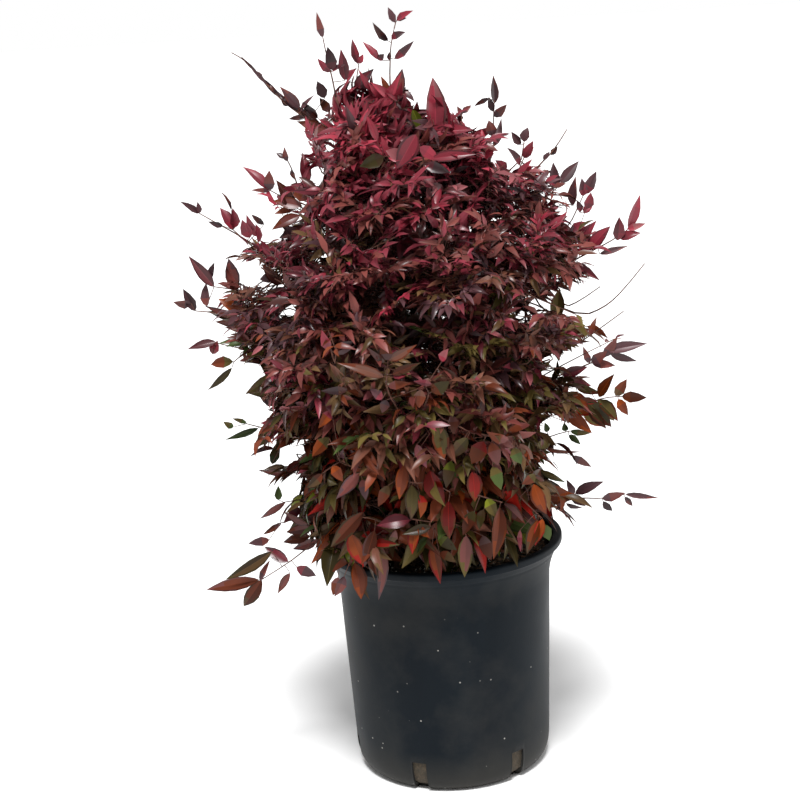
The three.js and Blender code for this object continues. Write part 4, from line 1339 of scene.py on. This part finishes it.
      (75, 434, 52, 444, 13, "maroon", "russet")]),
    (5, "maroon", [(-191, 539), (-216, 543), (-236, 546)],
     [(-216, 543, -253, 555, 10, "bronze"), (-225, 546, -254, 564, 7), (-209, 540, -247, 541, 10),
      (-203, 530, -234, 536, 10, "russet"), (-215, 552, -239, 569, 13, "russet"),
      (-199, 544, -219, 560, 12)]),
    (-35, "olive", [(141, 414), (170, 426)],
     [(173, 433, 199, 403, 19), (164, 438, 191, 418, 17, "orange"), (175, 426, 192, 401, 12, "bronze")]),
    (-30, "maroon", [(-134, 310), (-158, 292)],
     [(-149, 301, -182, 295, 13), (-152, 291, -187, 282, 13, "russet"), (-144, 286, -175, 274, 12),
      (-154, 306, -182, 320, 11)]),
    (-10, "maroon", [(-83, 729), (-103, 758)],
     [(-106, 757, -137, 783, 11), (-102, 752, -133, 764, 12), (-110, 766, -126, 784, 11),
      (-85, 773, -90, 795, 11, "crimson"), (-76, 775, -78, 797, 11, "crimson"),
      (-96, 772, -108, 788, 10)]),
    (0, "burgundy", [(151, 596), (168, 612)],
     [(166, 610, 193, 634, 14), (171, 604, 199, 616, 12), (182, 647, 188, 665, 12),
      (163, 622, 184, 632, 11)]),
    (-5, "maroon", [(-105, 647), (-132, 663), (-142, 668)],
     [(-135, 670, -168, 677, 13), (-138, 659, -171, 647, 14), (-134, 647, -166, 633, 13),
      (-127, 677, -147, 688, 11), (-140, 638, -159, 649, 11)]),
    (-15, "burgundy", [(97, 680), (107, 694), (114, 709)],
     [(109, 701, 98, 723, 11), (114, 709, 125, 728, 10), (100, 694, 125, 698, 11),
      (94, 697, 83, 709, 10)]),
    (5, "maroon", [(-146, 562), (-163, 581), (-173, 591)],
     [(-165, 581, -186, 606, 14), (-171, 589, -192, 588, 12), (-157, 572, -188, 574, 12)]),
    (-15, "burgundy", [(127, 451), (150, 455), (167, 459)],
     [(151, 455, 180, 446, 13), (147, 460, 176, 470, 12), (161, 450, 192, 434, 11, "olive"),
      (153, 441, 179, 423, 13, "orange"), (186, 426, 207, 400, 12, "orange"),
      (169, 416, 195, 396, 13, "olive", "orange")]),
    (-10, "olive", [(-151, 481), (-167, 480)],
     [(-176, 481, -216, 459, 13), (-167, 485, -193, 498, 10, "maroon"),
      (-181, 445, -201, 454, 10, "maroon")]),
    (-10, "plum", [(-129, 771), (-147, 786)],
     [(-140, 781, -163, 806, 5), (-131, 776, -152, 794, 6), (-149, 790, -173, 818, 5),
      (-163, 806, -181, 829, 4), (-173, 820, -190, 838, 3)]),
    (-216, "maroon", [(-49, 500), (-47, 517), (-45, 531)],
     [(-48, 532, -65, 550, 6, "umber"), (-45, 534, -46, 557, 14, "maroon", "orange"),
      (-44, 534, -14, 549, 9, "umber"), (-50, 517, -95, 537, 10, "umber"),
      (-41, 519, -11, 530, 8, "russet"), (-40, 516, -23, 521, 8, "burgundy"), (-46, 507, -23, 510, 8),
      (-53, 494, -65, 506, 9, "burgundy")]),
    (-214, "umber", [(-4, 495), (-7, 501), (-8, 504)],
     [(-2, 498, 17, 509, 16, "orange", "olive"), (-13, 501, -16, 482, 12, "umber"),
      (-2, 506, -20, 511, 6, "rose"), (10, 529, 17, 542, 9, "crimson"), (-49, 492, -54, 479, 9, "plum")]),
    (-212, "plum", [(-99, 530), (-98, 537), (-97, 543)],
     [(-97, 543, -77, 549, 6), (-96, 550, -77, 555, 6), (-103, 548, -110, 569, 10, "burgundy"),
      (-88, 505, -115, 505, 8, "maroon"), (-72, 497, -87, 506, 9, "umber")]),
]
partners = {  # the colours that a listed leaf's tip and margins take where none is named
    "crimson": ("burgundy", "rose"), "burgundy": ("crimson", "plum"), "maroon": ("plum", "russet"),
    "plum": ("maroon", "plum"), "rose": ("burgundy", "crimson"), "russet": ("maroon", "bronze", "orange"),
    "umber": ("maroon", "russet"), "bronze": ("olive", "russet"), "orange": ("olive", "russet", "scarlet"),
    "scarlet": ("russet", "orange", "scarlet"), "olive": ("bronze", "russet", "green"),
    "green": ("olive", "green"), "lime": ("olive", "green"),
}
namedPlan = {
    "onStem": (0.4, 0.95), "lineSteps": 12, "slant": 0.3, "frontDepth": -100,
    "facing": (0, -0.9, 0.25), "tilt": 0.28, "seed": 9,
    # the tones of listed leaves are painted shade: held low, and lower still for leaves low on the plant
    "highLeaf": 480, "highTones": (0, 1, 2, 2, 3), "lowTones": (0, 1, 2, 2),
    "widen": ((9, 16), (1.2, 0.95)), "blunt": ((8, 20), (0.15, 0.55)),  # by a leaf's width
    "fold": (0.2, 0.6), "arch": (-0.02, 0.1), "drop": (0, 0.15),
}


def nearestMass(point):
    return int(np.linalg.norm(massCentres - point, axis=1).argmin())


def twigThrough(growth, points, rootRadius, tipRadius):
    # each piece runs from the middle of one leg to the middle of the next, bent by the point between
    middles = np.concatenate([points[:1], (points[1:-2] + points[2:-1]) / 2, points[-1:]])
    radii = np.linspace(rootRadius, tipRadius, len(middles))
    for k, corner in enumerate(points[1:-1]):
        growth.addTwigs(np.array([middles[k], corner, middles[k + 1]])[:, None], radii[k], radii[k + 1])


def growNamedSprays(plan):
    # a twig from the nearest mass's stem through the listed points, and the listed leaves facing the front
    rng = np.random.default_rng(plan["seed"])
    for depth, kind, line, listed in namedSprays:
        points = np.array([(x, depth, z) for x, z in line], float)
        number = nearestMass(points[0])
        growth = growths[number]
        start = pointOn(stemCurve(masses[number]), rng.uniform(*plan["onStem"]))
        twigThrough(growth, np.vstack([start, points]), *twigRadii["named"])
        if not listed:
            continue
        count = len(listed)
        fromX, fromZ, toX, toZ, width = np.array([leaf[:5] for leaf in listed], float).T
        plane = np.full(count, float(depth))
        base, tip = np.stack([fromX, plane, fromZ], axis=1), np.stack([toX, plane, toZ], axis=1)
        share = np.linspace(0, 1, plan["lineSteps"])[:, None, None]
        places = mixValues(points[:-1], points[1:], share).reshape(-1, 3)
        joint = places[np.linalg.norm(base[:, None] - places, axis=-1).argmin(1)]
        growth.addTwigs(twigCurves(joint, base), *twigRadii["leafStalk"])
        length = np.linalg.norm(tip - base, axis=1)
        furthestBack = 0 if depth <= plan["frontDepth"] else 1
        tip[:, 1] += length * plan["slant"] * rng.uniform(-1, furthestBack, count)
        direction = unit(tip - base)
        facing = unit(np.array(plan["facing"]) + rng.normal(0, plan["tilt"], (count, 3)))
        own = [list(leaf[5:]) or [kind] for leaf in listed]
        own = [names if len(names) > 1 else names + [rng.choice(partners[names[0]])] for names in own]
        families, tipFamilies = (np.array([familyNames.index(names[k]) for names in own]) for k in (0, -1))
        # painted shade: listed leaves low on the plant are dealt darker tones than those high up
        tone = rng.choice(plan["highTones" if points[-1, 2] > plan["highLeaf"] else "lowTones"], count)
        shape = {key: rng.uniform(*plan[key], count) for key in ("fold", "arch", "drop")}
        growth.addLeaves(point=base, direction=direction, normal=squareTo(facing, direction), length=length,
                         width=width * np.interp(width, *plan["widen"]) / length, family=families,
                         tipFamily=tipFamilies, tone=tone, blunt=np.interp(width, *plan["blunt"]), **shape)


growNamedSprays(namedPlan)
print("named sprays grown")


# Shoots that stand out at the front and the back, every other one at the front and reaching further forward
shootPlan = {
    "count": 26, "heights": (300, 800), "bearings": (90, -90), "sideways": 62,
    "reach": (4, 16), "forward": 26, "onStem": (0.5, 0.95), "shortest": 20, "seed": 3,
    "firstPair": 0.93, "lastPair": 0.3, "pairGap": 24, "pairLeaf": 0.95,
}


def growShoots(plan):
    # one twig from the nearest mass's stem to the tip, with pairs of leaflets at even steps down from it
    rng = np.random.default_rng(plan["seed"])
    for k in range(plan["count"]):
        front = k % 2
        bearing = math.radians(plan["bearings"][front] + rng.uniform(-1, 1) * plan["sideways"])
        height = rng.uniform(*plan["heights"])
        reach = float(outlineRadius(height)) + rng.uniform(*plan["reach"]) + plan["forward"] * front
        tip = crownCentre + radial(bearing, reach, height)
        number = nearestMass(tip)
        growth = growths[number]
        start = pointOn(stemCurve(masses[number]), rng.uniform(*plan["onStem"]))
        size = np.array([habitAt(height, "length")])
        way = tip - start
        length = max(float(np.linalg.norm(way)) - size[0], plan["shortest"])
        curve = twigCurves(start, start + unit(way) * length)
        growth.addTwigs(curve, *twigRadii["shoot"])
        family = familyAt(curve[2][:, 2], rng.random(1))
        leavesOn(growth, curve, sprayPlan["endPlace"], 0, size, family, rng)
        for step in range(int(length / plan["pairGap"])):
            share = plan["firstPair"] - step * plan["pairGap"] / length
            if share > plan["lastPair"]:
                for hand in (-1, 1):
                    leavesOn(growth, curve, share, hand, size * plan["pairLeaf"], family, rng)


growShoots(shootPlan)
print("shoots grown")


# Twig and leaf meshes
leafShape = {
    "large": {"stations": (0, 0.07, 0.22, 0.42, 0.64, 0.85, 1.0), "blades": (0.74, 1), "ribs": 1},
    "small": {"stations": (0, 0.1, 0.34, 0.68, 1.0), "blades": (1,), "ribs": 0},
    "pointed": {"scale": 4.42, "base": 0.8, "tip": 1.5}, "blunt": {"scale": 3.48, "power": 0.9},
    "largeFrom": 30, "stalkWidth": 0.035, "tipWidth": 0.012,
    "ribWidth": 0.03, "ribTaper": 0.5, "ribLeast": 0.02, "ribShare": 0.6, "seed": 3,
}
twigShape = {"rings": 4, "sides": 3, "steep": 0.8}


def leafPoints(leaves, shape, kind):
    # along u and across v: x = u L; y = v w(u) W / 2; z = arch sin(pi u) - drop u^2 + fold |v| w(u),
    # where w(u) runs with bluntness from 4.42 u^0.8 (1 - u)^1.5 to 3.48 u^0.9 (1 - u)^0.9, and is kept over
    # the stalk's and the tip's width
    u = np.array(kind["stations"])
    p, b = shape["pointed"], shape["blunt"]
    pointed = p["scale"] * u ** p["base"] * (1 - u) ** p["tip"]
    blunt = b["scale"] * (u * (1 - u)) ** b["power"]
    w = mixValues(pointed, blunt, leaves["blunt"][:, None])
    w = np.maximum(w, np.where(u < 0.5, shape["stalkWidth"], shape["tipWidth"]))
    ribbed = shape["ribWidth"] * (1 - shape["ribTaper"] * u) + shape["ribLeast"]
    ribbed = np.minimum(ribbed, w * shape["ribShare"])
    middle = [-ribbed, ribbed] if kind["ribs"] else [0 * w]
    half = [np.maximum(w * share, ribbed) for share in kind["blades"]]
    v = np.stack([-edge for edge in half[::-1]] + middle + half, axis=2)
    length, width, arch, drop, fold = (leaves[key][:, None, None]
                                       for key in ("length", "width", "arch", "drop", "fold"))
    u = u[None, :, None]
    x = u * length
    y = v * (length * width / 2)
    lift = arch * np.sin(math.pi * u) * length
    lift = lift - drop * u**2 * length
    z = lift + fold * np.abs(y)
    across = np.cross(leaves["normal"], leaves["direction"])
    return (leaves["point"][:, None, None] + leaves["direction"][:, None, None] * x[..., None]
            + across[:, None, None] * y[..., None] + leaves["normal"][:, None, None] * z[..., None])


def leafFaces(leaves, kind, firstPoint):
    # one side of a leaf may be a tone darker or lighter, painted light and shade as if lit from one side,
    # and its outer half may have another family's colour. Where a row has five quads, the middle one is the
    # rib, a tone lighter, and the outer ones are margins, a tone darker, that take the other colour further
    # down on one side than on the other
    count, rows, half = len(leaves["length"]), len(kind["stations"]) - 1, len(kind["blades"])
    columns, outerHalf = 2 * half + kind["ribs"], len(kind["stations"]) // 2
    faces = repeatFaces(gridFaces(rows + 1, columns + 1), count, (rows + 1) * (columns + 1)) + firstPoint
    families, tones = (np.broadcast_to(leaves[key][:, None, None], (count, rows, columns)).copy()
                       for key in ("family", "tone"))
    families[:, outerHalf:] = leaves["tipFamily"][:, None, None]
    rng = np.random.default_rng(leafShape["seed"])
    # painted light and shade: one half of each blade dealt a tone lighter or darker
    tones[..., :half] += rng.integers(-1, 2, (count, 1, 1))
    if kind["ribs"]:
        families[:, 1:, 0] = leaves["tipFamily"][:, None]
        families[:, outerHalf:-1, half:-1] = leaves["family"][:, None, None]
        families[:, outerHalf:-2, 1:half] = leaves["family"][:, None, None]
        tones[..., [0, -1]] -= 1
        tones[..., half] += 1
    return faces, (families * len(leafTones) + tones.clip(0, len(leafTones) - 1)).ravel()


def makeLeaves(name, grown):
    # large leaves have more rows than small ones, a rib and margins
    groups = [group for growth in grown for group in growth.leaves]
    leaves = {key: np.concatenate([group[key] for group in groups]) for key in groups[0]}
    large = leaves["length"] > leafShape["largeFrom"]
    points, faces, slots = [], [], []
    for chosen, kind in ((large, leafShape["large"]), (~large, leafShape["small"])):
        some = {key: values[chosen] for key, values in leaves.items()}
        newFaces, newSlots = leafFaces(some, kind, sum(len(p) for p in points))
        points.append(leafPoints(some, leafShape, kind).reshape(-1, 3))
        faces.append(newFaces)
        slots.append(newSlots)
    print(f"{name}: {len(large)} leaflets, {large.sum()} of them large")
    corners, quads = np.concatenate(points), np.concatenate(faces)
    return makePiece(name, corners, [quads], leafMaterials, np.concatenate(slots))


def makeTwigs(name, grown, shape=twigShape):
    # a tube of few sides carried along each bent line, its radius tapering from root to tip
    groups = [group for growth in grown for group in growth.twigs]
    curves = np.concatenate([group[0] for group in groups], axis=1)
    roots, tips = (np.concatenate([group[k] for group in groups]) for k in (1, 2))
    t = np.linspace(0, 1, shape["rings"])[None, :, None]
    route = pointOn(curves[:, :, None], t)
    chord = unit(curves[2] - curves[0])[:, None]
    reference = np.where(np.abs(chord[..., 2:]) > shape["steep"], np.array([1.0, 0, 0]), upwards)
    tangents = unit(np.gradient(route, axis=1))
    side = unit(np.cross(np.broadcast_to(reference, tangents.shape), tangents))
    around = np.linspace(0, fullTurn, shape["sides"], endpoint=False)
    radius = mixValues(roots[:, None, None], tips[:, None, None], t)
    points = ringsAround(route, side, np.cross(tangents, side), around, radius)
    faces = tubeFaces(shape["rings"], shape["sides"], len(roots))
    return makePiece(name, points.reshape(-1, 3), faces, [twigMaterial])


leafPieces = {"top": 1, "upper": 1, "middle": 2, "lower": 2, "skirt": 1}  # each under 200,000 triangles


def fitFoliage(piece, numbers):
    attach(piece, "root")
    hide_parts(*[f"foliage_{masses[number]['label']}" for number in numbers])


for name, parts in leafPieces.items():
    own = [number for number, mass in enumerate(masses) if mass["tier"]["name"] == name]
    fitFoliage(makeTwigs(f"twigs_{name}", [growths[number] for number in own]), own)
    for part, numbers in enumerate(np.array_split(own, parts)):
        label = f"leaves_{name}_{part + 1}" if parts > 1 else f"leaves_{name}"
        fitFoliage(makeLeaves(label, [growths[number] for number in numbers]), numbers)
print("leaves and twigs made")
